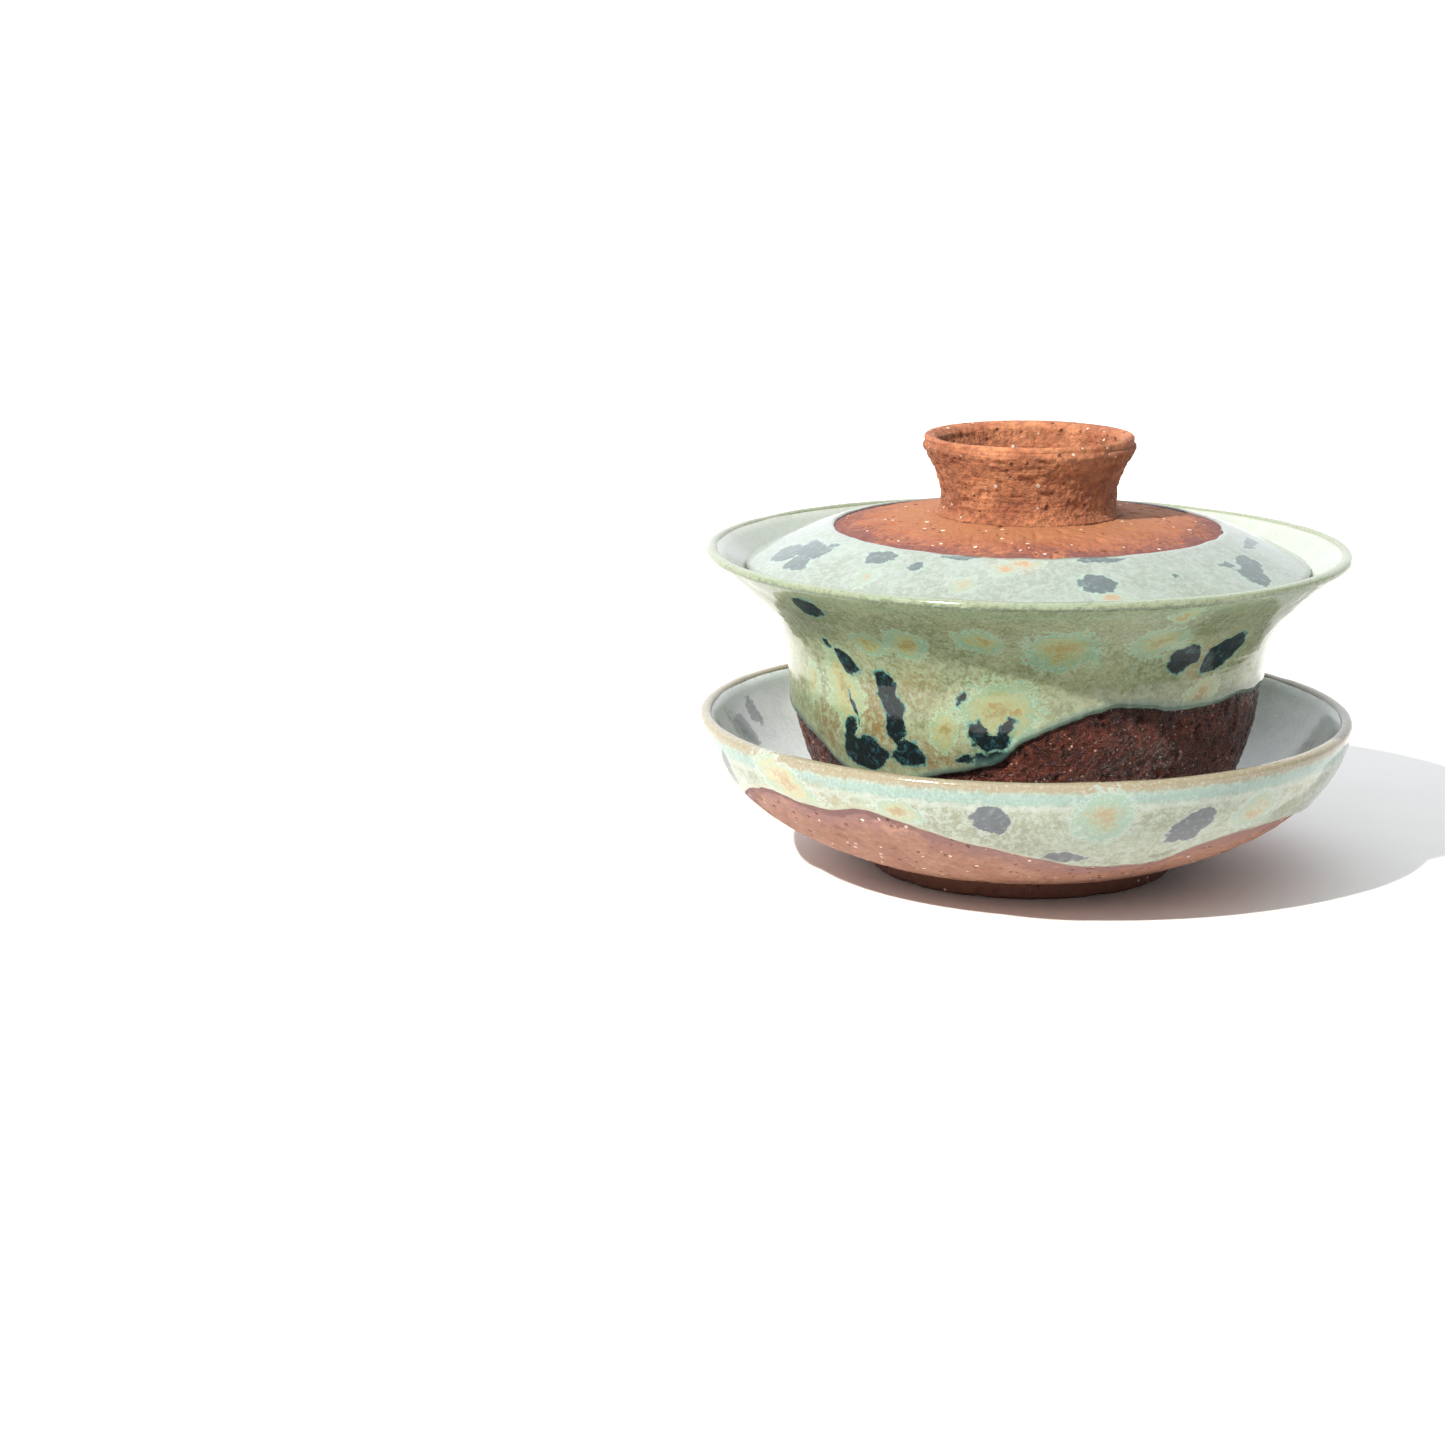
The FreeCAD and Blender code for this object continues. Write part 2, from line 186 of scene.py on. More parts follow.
def grain(points, size, octaves=2, seed=0):
    # a soft random field over points in mm, with features of the given size, about -1 to 1
    lattice = np.random.default_rng(seed).uniform(-1, 1, (32, 32, 32))
    total, weight, reach = np.zeros(len(points)), 1.0, 1.0
    for octave in range(octaves):
        place = points / size * reach + 7.31 * octave
        cell = np.floor(place).astype(int)
        share = place - cell
        share = share * share * (3 - 2 * share)
        for corner in np.ndindex(2, 2, 2):
            near = np.prod(np.where(corner, share, 1 - share), axis=1)
            total += weight * near * lattice[tuple(((cell + corner) % 32).T)]
        weight, reach = weight * 0.5, reach * 2.03
    return total * 1.4


def turnPiece(name, rows, segments, place, fields, closed=False):
    # a sheet of rings and segments is rolled up: place() says where each point of each ring goes
    shell = bmesh.new()
    layers = {field: shell.verts.layers.float.new(field) for field in fields}
    lengths = rows if closed else rows - 1
    bmesh.ops.create_grid(shell, x_segments=segments, y_segments=lengths, size=1)
    flat = np.array([vert.co for vert in shell.verts])
    seams = [vert for vert in shell.verts if max(abs(vert.co.x), abs(vert.co.y)) > 0.99999]
    row = np.rint((flat[:, 1] + 1) / 2 * lengths).astype(int) % rows
    points, values = place(row, flat[:, 0] * math.pi)
    for vert, point in zip(shell.verts, points):
        vert.co = Vector(point) * mm
    for field, layer in layers.items():
        for vert, value in zip(shell.verts, values[field]):
            vert[layer] = value
    bmesh.ops.remove_doubles(shell, verts=seams, dist=1e-6)
    loose = [edge for edge in shell.edges if not edge.link_faces]
    bmesh.ops.delete(shell, geom=loose, context="EDGES")
    bmesh.ops.recalc_face_normals(shell, faces=shell.faces)
    mesh = bpy.data.meshes.new(name)
    shell.to_mesh(mesh)
    shell.free()
    mesh.shade_smooth()
    piece = bpy.data.objects.new(name, mesh)
    bpy.context.scene.collection.objects.link(piece)
    return piece


def around(radius, height, turn):
    return np.column_stack([radius * np.cos(turn), radius * np.sin(turn), height])


def azimuthOf(turn):
    # degrees from the front, -Y, turning towards +X
    return (np.degrees(turn) + 90 + 180) % 360 - 180


def lineAround(marks, azimuth):
    # a smooth closed line through (azimuth, value) marks
    marks = sorted(((a + 180) % 360 - 180, value) for a, value in marks)
    turns = np.array([a for a, _ in marks])
    heights = np.array([value for _, value in marks])
    turns = np.concatenate([turns[-3:] - 360, turns, turns[:3] + 360])
    heights = np.concatenate([heights[-3:], heights, heights[:3]])
    slopes = np.gradient(heights, turns)
    spot = np.clip(np.searchsorted(turns, azimuth) - 1, 0, len(turns) - 2)
    gap = turns[spot + 1] - turns[spot]
    u = (azimuth - turns[spot]) / gap
    return ((2 * u ** 3 - 3 * u ** 2 + 1) * heights[spot] + (u ** 3 - 2 * u ** 2 + u) * gap * slopes[spot]
            + (3 * u ** 2 - 2 * u ** 3) * heights[spot + 1] + (u ** 3 - u ** 2) * gap * slopes[spot + 1])


# Marks in the glaze. Each is (kind, azimuth, height or radius, half width, half height, lean,
# warm, cream): "spot" is an iron-dark spot, "eye" a ringed one, "rust" a soft brown bloom.

def markFields(outline, marks, along, turn, radius, points, measure, inside=False):
    azimuth = azimuthOf(turn)
    wideWarp = 0.55 * grain(points, 2.6, 3, 1)
    tallWarp = 0.55 * grain(points, 2.6, 3, 2)
    fields = {"spot": np.full(len(along), 9.0), "eye": np.full(len(along), 3.0),
              "warm": np.zeros(len(along)), "cream": np.zeros(len(along)), "rust": np.zeros(len(along))}
    for kind, markAzimuth, level, halfWidth, halfHeight, lean, warm, cream in marks:
        centre = alongAt(outline, level, measure, inside)
        wide = np.radians((azimuth - markAzimuth + 180) % 360 - 180) * radius + wideWarp
        tall = (centre - along) + tallWarp
        tilt = math.radians(lean)
        across = wide * math.cos(tilt) + tall * math.sin(tilt)
        up = tall * math.cos(tilt) - wide * math.sin(tilt)
        reach = np.hypot(across / halfWidth, up / halfHeight)
        if kind == "spot":
            fields["spot"] = np.minimum(fields["spot"], (reach - 1) * math.sqrt(halfWidth * halfHeight))
        elif kind == "eye":
            nearer = reach < fields["eye"]
            fields["eye"] = np.where(nearer, reach, fields["eye"])
            fields["warm"] = np.where(nearer, warm, fields["warm"])
            fields["cream"] = np.where(nearer, cream, fields["cream"])
        else:
            fields["rust"] = np.maximum(fields["rust"], np.clip(1 - reach ** 2, 0, 1) * warm)
    return fields


coatFields = ["lip", "edge", "spot", "eye", "warm", "cream", "rust"]


def makeCoat(name, outline, size, measure="height"):
    # a dipped coat: over the lip, down the outside to its wavy edge, and back along the clay
    nearEdge = np.array([2.6, 2.1, 1.7, 1.35, 1.05, 0.8, 0.6, 0.44, 0.3, 0.18, 0.08, 0.0])   # closer rings
    mainRows, backRows = size["rows"], 14
    rows = mainRows + len(nearEdge) + backRows

    def place(row, turn):
        azimuth = azimuthOf(turn)
        wobble = around(np.full(len(turn), outline["radius"].max()), np.zeros(len(turn)), turn)
        drop = lineAround(size["run"], azimuth)
        line = alongAtDrop(outline, drop) if measure == "height" else drop
        line = line + size["wobble"] * grain(wobble, 5.0, 3, 3)
        share = np.clip(row / mainRows, 0, 1)
        fromEdge = np.where(row < mainRows, 0, nearEdge[np.clip(row - mainRows, 0, len(nearEdge) - 1)])
        back = np.clip((row - mainRows - len(nearEdge) + 1) / backRows, 0, 1)
        main = -size["lap"] + share * (line - nearEdge[0] + size["lap"])
        along = np.where(row < mainRows, main, line - fromEdge)
        along = np.where(back > 0, line - back * (line + size["lap"]), along)
        toEdge = line - along
        belly = np.sqrt(np.clip(1 - (1 - np.clip(toEdge / size["edgeRound"], 0, 1)) ** 2, 0, 1))
        bead = size["bead"] * np.exp(-((toEdge - 1.0) / 0.7) ** 2)
        lapped = np.clip((along + size["lap"]) / 1.0, 0, 1)
        thin = 1 - size["lipThinning"] * np.exp(-(along / 1.6) ** 2)
        radius, height = onOutline(outline, along)
        flat = around(radius, height, turn)
        ripple = size["ripple"] * (grain(flat, 11.0, 2, 4) + 0.35 * grain(flat, 3.2, 2, 5))
        thickness = (size["thickness"] * thin + bead + ripple) * belly * lapped
        push = np.where(back > 0, -size["bite"], np.where(toEdge <= 0, 0, thickness))
        radius, height = onOutline(outline, along, push)
        points = around(radius, height, turn)
        fields = markFields(outline, size["marks"], along, turn, radius, points, measure)
        fields.update(lip=along, edge=toEdge)
        return points, fields

    return turnPiece(name, rows, size["segments"], place, coatFields, closed=True)


def makeLiner(name, outline, size):
    # a poured coat from just under the lip to the middle, as a skin with a back
    mainRows, backRows = size["rows"], 24
    rows = mainRows + backRows

    def place(row, turn):
        back = row >= mainRows
        share = np.where(back, 1 - (row - mainRows) / (backRows - 1), row / (mainRows - 1))
        along = -size["start"] + share * (outline["inside"] + size["start"])
        rise = np.clip((-along - size["start"]) / 1.6, 0, 1)
        radius, height = onOutline(outline, along)
        flat = around(radius, height, turn)
        ripple = size["ripple"] * (grain(flat, 12.0, 2, 6) + 0.3 * grain(flat, 3.5, 2, 7))
        ripple = ripple * np.clip(radius / 6, 0, 1)
        push = np.where(back, -size["bite"], (size["thickness"] + ripple) * rise)
        radius, height = onOutline(outline, along, push)
        radius = np.where((share > 0.9999), 0, radius)
        points = around(radius, height, turn)
        fields = markFields(outline, size["marks"], along, turn, np.maximum(radius, 1), points, "height",
                            inside=True)
        fields.update(lip=-along, edge=np.full(len(along), 9.0))
        return points, fields

    return turnPiece(name, rows, size["segments"], place, coatFields, closed=True)


clayFields = ["along", "edge"]


def makeClay(name, outline, size, relief, line=None, closed=False):
    # the clay itself, with more rings where it is bare and can be seen
    farFromGlaze = -50.0
    stops = np.array(size["rings"], dtype=float)         # (arc length, ring spacing) from outside in
    rings = [stops[0, 0]]
    for (here, spacing), (there, _) in zip(stops[:-1], stops[1:]):
        count = max(1, int(round(abs(there - here) / spacing)))
        rings += list(here + (there - here) * np.arange(1, count + 1) / count)
    rings = np.array(rings)

    def place(row, turn):
        along = rings[row]
        radius, height = onOutline(outline, along)
        flat = around(radius, height, turn)
        azimuth = azimuthOf(turn)
        edge = along - (line(azimuth) if line else farFromGlaze)
        push = relief(flat, along, turn, edge)
        radius, height = onOutline(outline, along, push)
        height = np.maximum(height, 0)               # grit is never pressed into the floor
        if not closed:
            radius = np.where((row == 0) | (row == len(rings) - 1), 0, radius)
        return around(radius, height, turn), {"along": along, "edge": edge}

    return turnPiece(name, len(rings), size["segments"], place, clayFields, closed)


print("helpers ready")


# Glazes

def makeSpottedGlaze(name, look):
    # a fired ash glaze on stoneware: thick glossy glass, so sharp highlights over a mottled,
    # curdled colour; iron spots have sunk into it and rings bloomed round them
    material, tree = newMaterial(name)
    place = addNode(tree, "Mapping", {0: addNode(tree, "TexCoord")[3], 3: (1 / mm, 1 / mm, 1 / mm)})[0]
    lip, edge, spot, eye, warm, cream, rust = [
        addNode(tree, "Attribute", attribute_name=field)[2] for field in coatFields]

    # ground: drifts of 9 mm, curdled clots of 1.3 mm, then crystals and pepper of 0.5 mm,
    # which is drawn coarser than the real 0.2 mm so that it shows
    drift = addNode(tree, "TexNoise", {0: place, 2: 1 / 9, 3: 4, 4: 0.6})[0]
    drift = addNode(tree, "MapRange", {0: drift, 1: 0.38, 2: 0.62}, interpolation_type="SMOOTHSTEP")[0]
    clot = addNode(tree, "TexNoise", {0: place, 2: 1 / 1.3, 3: 6, 4: 0.72, 8: 0.35})[0]
    clotted = addNode(tree, "MapRange", {0: clot, 1: 0.44, 2: 0.6}, interpolation_type="SMOOTHSTEP")[0]
    pepper = addNode(tree, "TexNoise", {0: place, 2: 1 / 0.5, 3: 3, 4: 0.65})[0]
    dark = addNode(tree, "MapRange", {0: pepper, 1: 0.55, 2: 0.66, 4: look["pepper"]})[0]
    light = addNode(tree, "MapRange", {0: pepper, 1: 0.46, 2: 0.36, 4: look["crystals"]})[0]
    colour = addNode(tree, "Mix", {0: drift, 6: look["deep"], 7: look["pale"]}, data_type="RGBA")[2]
    cloud = addNode(tree, "Math", {0: clotted, 1: look["clouding"]}, operation="MULTIPLY")[0]
    colour = addNode(tree, "Mix", {0: cloud, 6: colour, 7: look["crystal"]}, data_type="RGBA")[2]

    # bands that follow the lip, with ragged edges where the glaze ran; on the cup one band is
    # painted shade, darker glaze where the flared rim's shadow falls
    rag = addNode(tree, "TexNoise", {0: place, 2: 1 / 1.8, 3: 5, 4: 0.7})[0]
    ragged = addNode(tree, "MapRange", {0: rag, 1: 0.25, 2: 0.75, 3: -look["rag"], 4: look["rag"]})[0]
    fromLip = addNode(tree, "Math", {0: lip, 1: ragged})[0]
    for start, end, fade, tint, strength in look["bands"]:
        enter = addNode(tree, "MapRange", {0: fromLip, 1: start - fade, 2: start + fade},
                        interpolation_type="SMOOTHSTEP")[0]
        leave = addNode(tree, "MapRange", {0: fromLip, 1: end + fade, 2: end - fade},
                        interpolation_type="SMOOTHSTEP")[0]
        band = addNode(tree, "Math", {0: enter, 1: leave}, operation="MULTIPLY")[0]
        band = addNode(tree, "Math", {0: band, 1: strength}, operation="MULTIPLY")[0]
        colour = addNode(tree, "Mix", {0: band, 6: colour, 7: tint}, data_type="RGBA")[2]

    # brown blooms show through between the clots
    through = addNode(tree, "MapRange", {0: clot, 1: 0.68, 2: 0.38}, interpolation_type="SMOOTHSTEP")[0]
    rusty = addNode(tree, "Math", {0: rust, 1: through}, operation="MULTIPLY")[0]
    colour = addNode(tree, "Mix", {0: rusty, 6: colour, 7: look["rust"]}, data_type="RGBA")[2]
    colour = addNode(tree, "Mix", {0: dark, 6: colour, 7: look["fleck"]}, data_type="RGBA")[2]

    # ringed spots: a tan heart, olive and pale zones, a mint ring and a thin curdled line
    rim = addNode(tree, "TexNoise", {0: place, 2: 1 / 0.9, 3: 5, 4: 0.75})[0]
    blur = addNode(tree, "MapRange", {0: rim, 1: 0.25, 2: 0.75, 3: -look["curdle"], 4: look["curdle"]})[0]
    ring = addNode(tree, "Math", {0: eye, 1: blur})[0]
    ring = addNode(tree, "Math", {0: ring, 1: 1.4}, operation="DIVIDE")[0]
    mint = addNode(tree, "ValToRGB", {0: ring}, [(0.0, look["eyeHeart"]), (0.2, look["eyeYellow"]),
                                                 (0.48, look["eyePale"]), (0.6, look["eyeMint"]),
                                                 (0.68, look["eyeMint"]), (0.7, look["eyeLine"])])[0]
    sandy = addNode(tree, "ValToRGB", {0: ring}, [(0.0, look["eyeHeart"]), (0.3, look["eyeCream"]),
                                                  (0.6, look["eyePale"]), (0.7, look["eyeLine"])])[0]
    inRing = addNode(tree, "MapRange", {0: ring, 1: 0.76, 2: 0.72, 4: look["eyeStrength"]},
                     interpolation_type="SMOOTHSTEP")[0]
    ringColour = addNode(tree, "Mix", {0: cream, 6: mint, 7: sandy}, data_type="RGBA")[2]
    colour = addNode(tree, "Mix", {0: inRing, 6: colour, 7: ringColour}, data_type="RGBA")[2]
    heart = addNode(tree, "MapRange", {0: ring, 1: 0.34, 2: 0.2}, interpolation_type="SMOOTHSTEP")[0]
    heart = addNode(tree, "Math", {0: heart, 1: warm}, operation="MULTIPLY")[0]
    colour = addNode(tree, "Mix", {0: heart, 6: colour, 7: look["heart"]}, data_type="RGBA")[2]
    colour = addNode(tree, "Mix", {0: light, 6: colour, 7: look["crystal"]}, data_type="RGBA")[2]

    # iron spots: near black or slate, mottled inside, in a thin turquoise halo
    fray = addNode(tree, "TexNoise", {0: place, 2: 1 / 1.2, 3: 5, 4: 0.75})[0]
    frayed = addNode(tree, "MapRange", {0: fray, 1: 0.25, 2: 0.75, 3: -look["fray"], 4: look["fray"]})[0]
    reach = addNode(tree, "Math", {0: spot, 1: frayed})[0]
    halo = addNode(tree, "MapRange", {0: reach, 1: 0.6, 2: 0.15, 4: look["haloStrength"]},
                   interpolation_type="SMOOTHSTEP")[0]
    halo = addNode(tree, "Math", {0: halo, 1: addNode(tree, "MapRange", {0: rim, 1: 0.4, 2: 0.56})[0]},
                   operation="MULTIPLY")[0]
    colour = addNode(tree, "Mix", {0: halo, 6: colour, 7: look["halo"]}, data_type="RGBA")[2]
    inSpot = addNode(tree, "MapRange", {0: reach, 1: 0.2, 2: -0.1, 4: look["ironStrength"]})[0]
    iron = addNode(tree, "TexNoise", {0: place, 2: 1 / 1.1, 3: 5, 4: 0.7, 8: 0.5})[0]
    ironColour = addNode(tree, "ValToRGB", {0: iron}, [(0.0, look["iron"]), (0.52, look["iron"]),
                                                       (0.6, look["ironBlue"]), (0.74, look["ironPale"])])[0]
    colour = addNode(tree, "Mix", {0: inSpot, 6: colour, 7: ironColour}, data_type="RGBA")[2]

    # the lower edge: a pool where the run stopped, then a thin blue-grey margin over the clay
    margin = addNode(tree, "Math", {0: edge, 1: addNode(tree, "MapRange", {0: rag, 3: -0.7, 4: 0.7})[0]})[0]
    pool = addNode(tree, "MapRange", {0: margin, 1: look["marginWidth"] * 3.2, 2: look["marginWidth"],
                                      4: look["poolStrength"]}, interpolation_type="SMOOTHSTEP")[0]
    colour = addNode(tree, "Mix", {0: pool, 6: colour, 7: look["pool"]}, data_type="RGBA")[2]
    bare = addNode(tree, "MapRange", {0: margin, 1: look["marginWidth"] * 0.8, 2: 0.0},
                   interpolation_type="SMOOTHSTEP")[0]
    colour = addNode(tree, "Mix", {0: bare, 6: colour, 7: look["margin"]}, data_type="RGBA")[2]

    # orange peel of about 1.6 mm and pinholes, both shallow
    peel = addNode(tree, "TexNoise", {0: place, 2: 1 / 1.6, 3: 3, 4: 0.5})[0]
    pin = addNode(tree, "TexVoronoi", {0: place, 2: 1 / 2.0})[0]
    pin = addNode(tree, "MapRange", {0: pin, 1: 0.0, 2: 0.1, 3: -1.0, 4: 0.0})[0]
    relief = addNode(tree, "Math", {0: peel, 1: look["peel"], 2: pin}, operation="MULTIPLY_ADD")[0]
    bump = addNode(tree, "Bump", {0: 0.6, 1: 0.06 * mm, 3: relief})[0]
    gloss = addNode(tree, "MapRange", {0: clotted, 3: look["gloss"], 4: look["gloss"] + 0.08})[0]
    shader = addNode(tree, "BsdfPrincipled", {"Base Color": colour, "Roughness": gloss, "IOR": 1.52,
                                              "Normal": bump})[0]
    addNode(tree, "OutputMaterial", {0: shader})
    return material


# deep to crystal is the ground; bands are (from, to, fade, colour, strength) in mm below the lip
cupLook = {"deep": "#6d7556", "pale": "#878b6b", "crystal": "#949f84", "fleck": "#5b5a3c", "rust": "#765d38",
           "pepper": 0.55, "crystals": 0.45, "clouding": 0.6, "rag": 0.25, "curdle": 0.55, "fray": 0.6,
           "bands": [(-9, 0.75, 0.15, "#86917c", 0.9), (-0.7, 0.1, 0.2, "#7b795b", 0.3),
                     (0.9, 1.35, 0.15, "#384d41", 0.7), (1.4, 4.2, 1.0, "#76886f", 0.5),
                     # painted shade: this darker band 4 to 11 mm below the lip stands for the flared rim's
                     # shadow
                     (4.0, 11.0, 3.0, "#5d6449", 0.4)],
           "eyeHeart": "#807346", "heart": "#867644", "eyeYellow": "#8b8c5c", "eyePale": "#87936e",
           "eyeMint": "#6a8f7a", "eyeLine": "#a2b89a", "eyeCream": "#9e9f73", "eyeStrength": 0.88,
           "halo": "#478682", "haloStrength": 0.85, "iron": "#0a1517", "ironBlue": "#1b373f",
           "ironPale": "#355f66", "ironStrength": 1.0, "margin": "#323b38", "pool": "#4c6661",
           "poolStrength": 0.7, "marginWidth": 0.7, "peel": 0.8, "gloss": 0.1}
saucerLook = dict(cupLook, deep="#848976", pale="#919987", crystal="#a5aea3", fleck="#7b7c67", pepper=0.4,
                  crystals=0.5, clouding=0.75, rag=0.5, rust="#937f5b", curdle=0.5,
                  bands=[(-0.9, 1.6, 0.3, "#8d816a", 0.9), (-9, -0.9, 0.4, "#717370", 0.5),
                         (1.9, 3.7, 0.5, "#849e99", 0.8), (3.8, 4.7, 0.4, "#abb3ac", 0.55)],
                  eyeHeart="#958467", heart="#a0815e", eyeYellow="#929d84", eyePale="#8a9e8d",
                  eyeMint="#89a192", eyeLine="#b2b8b3", eyeCream="#aea785", halo="#a6b1ae",
                  haloStrength=0.7, iron="#4b5058", ironBlue="#5e626c", ironPale="#757c83",
                  ironStrength=0.9, margin="#837a7a", pool="#aaac94", poolStrength=0.6, marginWidth=0.5)
lidLook = dict(saucerLook, deep="#7d877a", pale="#879389", crystal="#959e98", fleck="#6f7665", pepper=0.3,
               bands=[(-9, 0.6, 0.3, "#6d7665", 0.6)], halo="#93b5a6", haloStrength=0.75,
               iron="#384248", ironBlue="#4c5a60", ironPale="#727f83", ironStrength=0.85, fray=0.75,
               eyeStrength=0.5, margin="#787370", pool="#84908d", poolStrength=0.3)
linerLook = dict(saucerLook, deep="#c3cbcb", pale="#d0d8d7", crystal="#dbdbdb", fleck="#8b9794", pepper=0.25,
                 crystals=0.3, clouding=0.4, rust="#606a6a", halo="#9caaaa", haloStrength=0.4, fray=1.1,
                 ironStrength=0.62,
                 bands=[(-9, 1.0, 0.3, "#9a9e94", 0.6), (1.2, 3.5, 0.8, "#becdc7", 0.5)])
cupLinerLook = dict(linerLook, deep="#9a9e93", pale="#a7aba2", crystal="#b5b7ae",
                    bands=[(-9, 1.2, 0.3, "#949681", 0.6), (1.2, 6.0, 1.5, "#96a499", 0.5)])
cupGlazeMaterial = makeSpottedGlaze("cupAshGlaze", cupLook)
saucerGlazeMaterial = makeSpottedGlaze("saucerAshGlaze", saucerLook)
lidGlazeMaterial = makeSpottedGlaze("lidAshGlaze", lidLook)
linerMaterial = makeSpottedGlaze("saucerLinerGlaze", linerLook)
cupLinerMaterial = makeSpottedGlaze("cupLinerGlaze", cupLinerLook)


# Clay

def makeStoneware(name, look):
    # groggy red stoneware, thrown, turned and left bare: dry and rough, with pale grog of up to
    # 0.8 mm, pits where grog was dragged out, darkened as painted shade inside them, and a flush
    # of colour beside the glaze
    material, tree = newMaterial(name)
    place = addNode(tree, "Mapping", {0: addNode(tree, "TexCoord")[3], 3: (1 / mm, 1 / mm, 1 / mm)})[0]
    along, edge = [addNode(tree, "Attribute", attribute_name=field)[2] for field in clayFields]
    body = addNode(tree, "TexNoise", {0: place, 2: 1 / 6, 3: 5, 4: 0.6})[0]
    body = addNode(tree, "MapRange", {0: body, 1: 0.35, 2: 0.65})[0]
    sand = addNode(tree, "TexNoise", {0: place, 2: 1 / look["sandSize"], 3: 4, 4: 0.75})[0]
    colour = addNode(tree, "Mix", {0: body, 6: look["dark"], 7: look["light"]}, data_type="RGBA")[2]
    shade = addNode(tree, "MapRange", {0: sand, 1: 0.36, 2: 0.64, 3: look["sandDark"],
                                       4: look["sandLight"]})[0]
    colour = addNode(tree, "Mix", {0: 1.0, 6: colour, 7: shade}, data_type="RGBA", blend_type="MULTIPLY")[2]

    # turning lines run round the piece, so their noise is squeezed along the outline
    squeezed = addNode(tree, "Math", {0: along, 1: 2.2}, operation="MULTIPLY")[0]
    ring = addNode(tree, "CombineXYZ", {0: squeezed})[0]
    flat = addNode(tree, "Mapping", {0: place, 3: (0.06, 0.06, 0)})[0]
    ring = addNode(tree, "VectorMath", {0: ring, 1: flat})[0]
    lines = addNode(tree, "TexNoise", {0: ring, 2: 1.0, 3: 4, 4: 0.7})[0]

    # past footStart the clay takes the foot colour: on the saucer's turned foot a darker brown, painted
    # shade under the saucer, and on the lid a warmer clay near the knob; a flush of colour lies beside the
    # glaze
    low = addNode(tree, "MapRange", {0: along, 1: look["footStart"] - look["footFade"],
                                     2: look["footStart"] + look["footFade"]},
                  interpolation_type="SMOOTHSTEP")[0]
    colour = addNode(tree, "Mix", {0: low, 6: colour, 7: look["foot"]}, data_type="RGBA")[2]
    drift = addNode(tree, "MapRange", {0: body, 3: -1.5, 4: 1.5})[0]
    grainy = addNode(tree, "MapRange", {0: sand, 1: 0.3, 2: 0.7, 3: -look["flushGrain"],
                                        4: look["flushGrain"]})[0]
    fromGlaze = addNode(tree, "Math", {0: edge, 1: drift})[0]
    fromGlaze = addNode(tree, "Math", {0: fromGlaze, 1: grainy})[0]
    flushed = addNode(tree, "MapRange", {0: fromGlaze, 1: look["flushWidth"], 2: 0.2,
                                         4: look["flushStrength"]}, interpolation_type="SMOOTHSTEP")[0]
    colour = addNode(tree, "Mix", {0: flushed, 6: colour, 7: look["flush"]}, data_type="RGBA")[2]

    # grog and pits: scattered cells, only some of them filled; on the cup the many pale specks are
    # partly grog and partly painted highlights, the glints of its sparkling grains
    grog = addNode(tree, "TexVoronoi", {0: place, 2: 1 / look["grogGap"]})
    chosen = addNode(tree, "SeparateColor", {0: grog[1]})
    size = addNode(tree, "MapRange", {0: chosen[1], 3: 0.08, 4: look["grogSize"]})[0]
    near = addNode(tree, "Math", {0: grog[0], 1: size}, operation="LESS_THAN")[0]
    picked = addNode(tree, "Math", {0: chosen[0], 1: look["grogShare"]}, operation="LESS_THAN")[0]
    isGrog = addNode(tree, "Math", {0: near, 1: picked}, operation="MULTIPLY")[0]
    colour = addNode(tree, "Mix", {0: isGrog, 6: colour, 7: look["grog"]}, data_type="RGBA")[2]
    hole = addNode(tree, "TexVoronoi", {0: place, 2: 1 / look["pitGap"], 8: 0.9})
    holeShare = addNode(tree, "SeparateColor", {0: hole[1]})
    deep = addNode(tree, "MapRange", {0: hole[0], 1: 0.3, 2: 0.16})[0]
    hollow = addNode(tree, "Math", {0: holeShare[2], 1: look["pitShare"]}, operation="LESS_THAN")[0]
    isPit = addNode(tree, "Math", {0: deep, 1: hollow}, operation="MULTIPLY")[0]
    # painted shade: pit cells take the darker pit colour, as if shadowed inside the holes
    colour = addNode(tree, "Mix", {0: isPit, 6: colour, 7: look["pit"]}, data_type="RGBA")[2]

    fromLip = addNode(tree, "Math", {0: along}, operation="ABSOLUTE")[0]
    thumbed = addNode(tree, "MapRange", {0: fromLip, 1: 1.4, 2: 2.2, 3: 0.3, 4: look["grit"]})[0]
    relief = addNode(tree, "Math", {0: sand, 1: thumbed}, operation="MULTIPLY")[0]
    relief = addNode(tree, "Math", {0: lines, 1: look["turning"], 2: relief}, operation="MULTIPLY_ADD")[0]
    relief = addNode(tree, "Math", {0: isPit, 1: -1.2, 2: relief}, operation="MULTIPLY_ADD")[0]
    relief = addNode(tree, "Math", {0: isGrog, 1: 0.5, 2: relief}, operation="MULTIPLY_ADD")[0]
    bump = addNode(tree, "Bump", {0: 1.0, 1: look["bumpDepth"] * mm, 3: relief})[0]
    rough = addNode(tree, "MapRange", {0: sand, 3: look["rough"] - 0.12, 4: look["rough"] + 0.12})[0]
    shader = addNode(tree, "BsdfPrincipled", {"Base Color": colour, "Roughness": rough, "IOR": 1.45,
                                              "Normal": bump})[0]
    addNode(tree, "OutputMaterial", {0: shader})
    return material


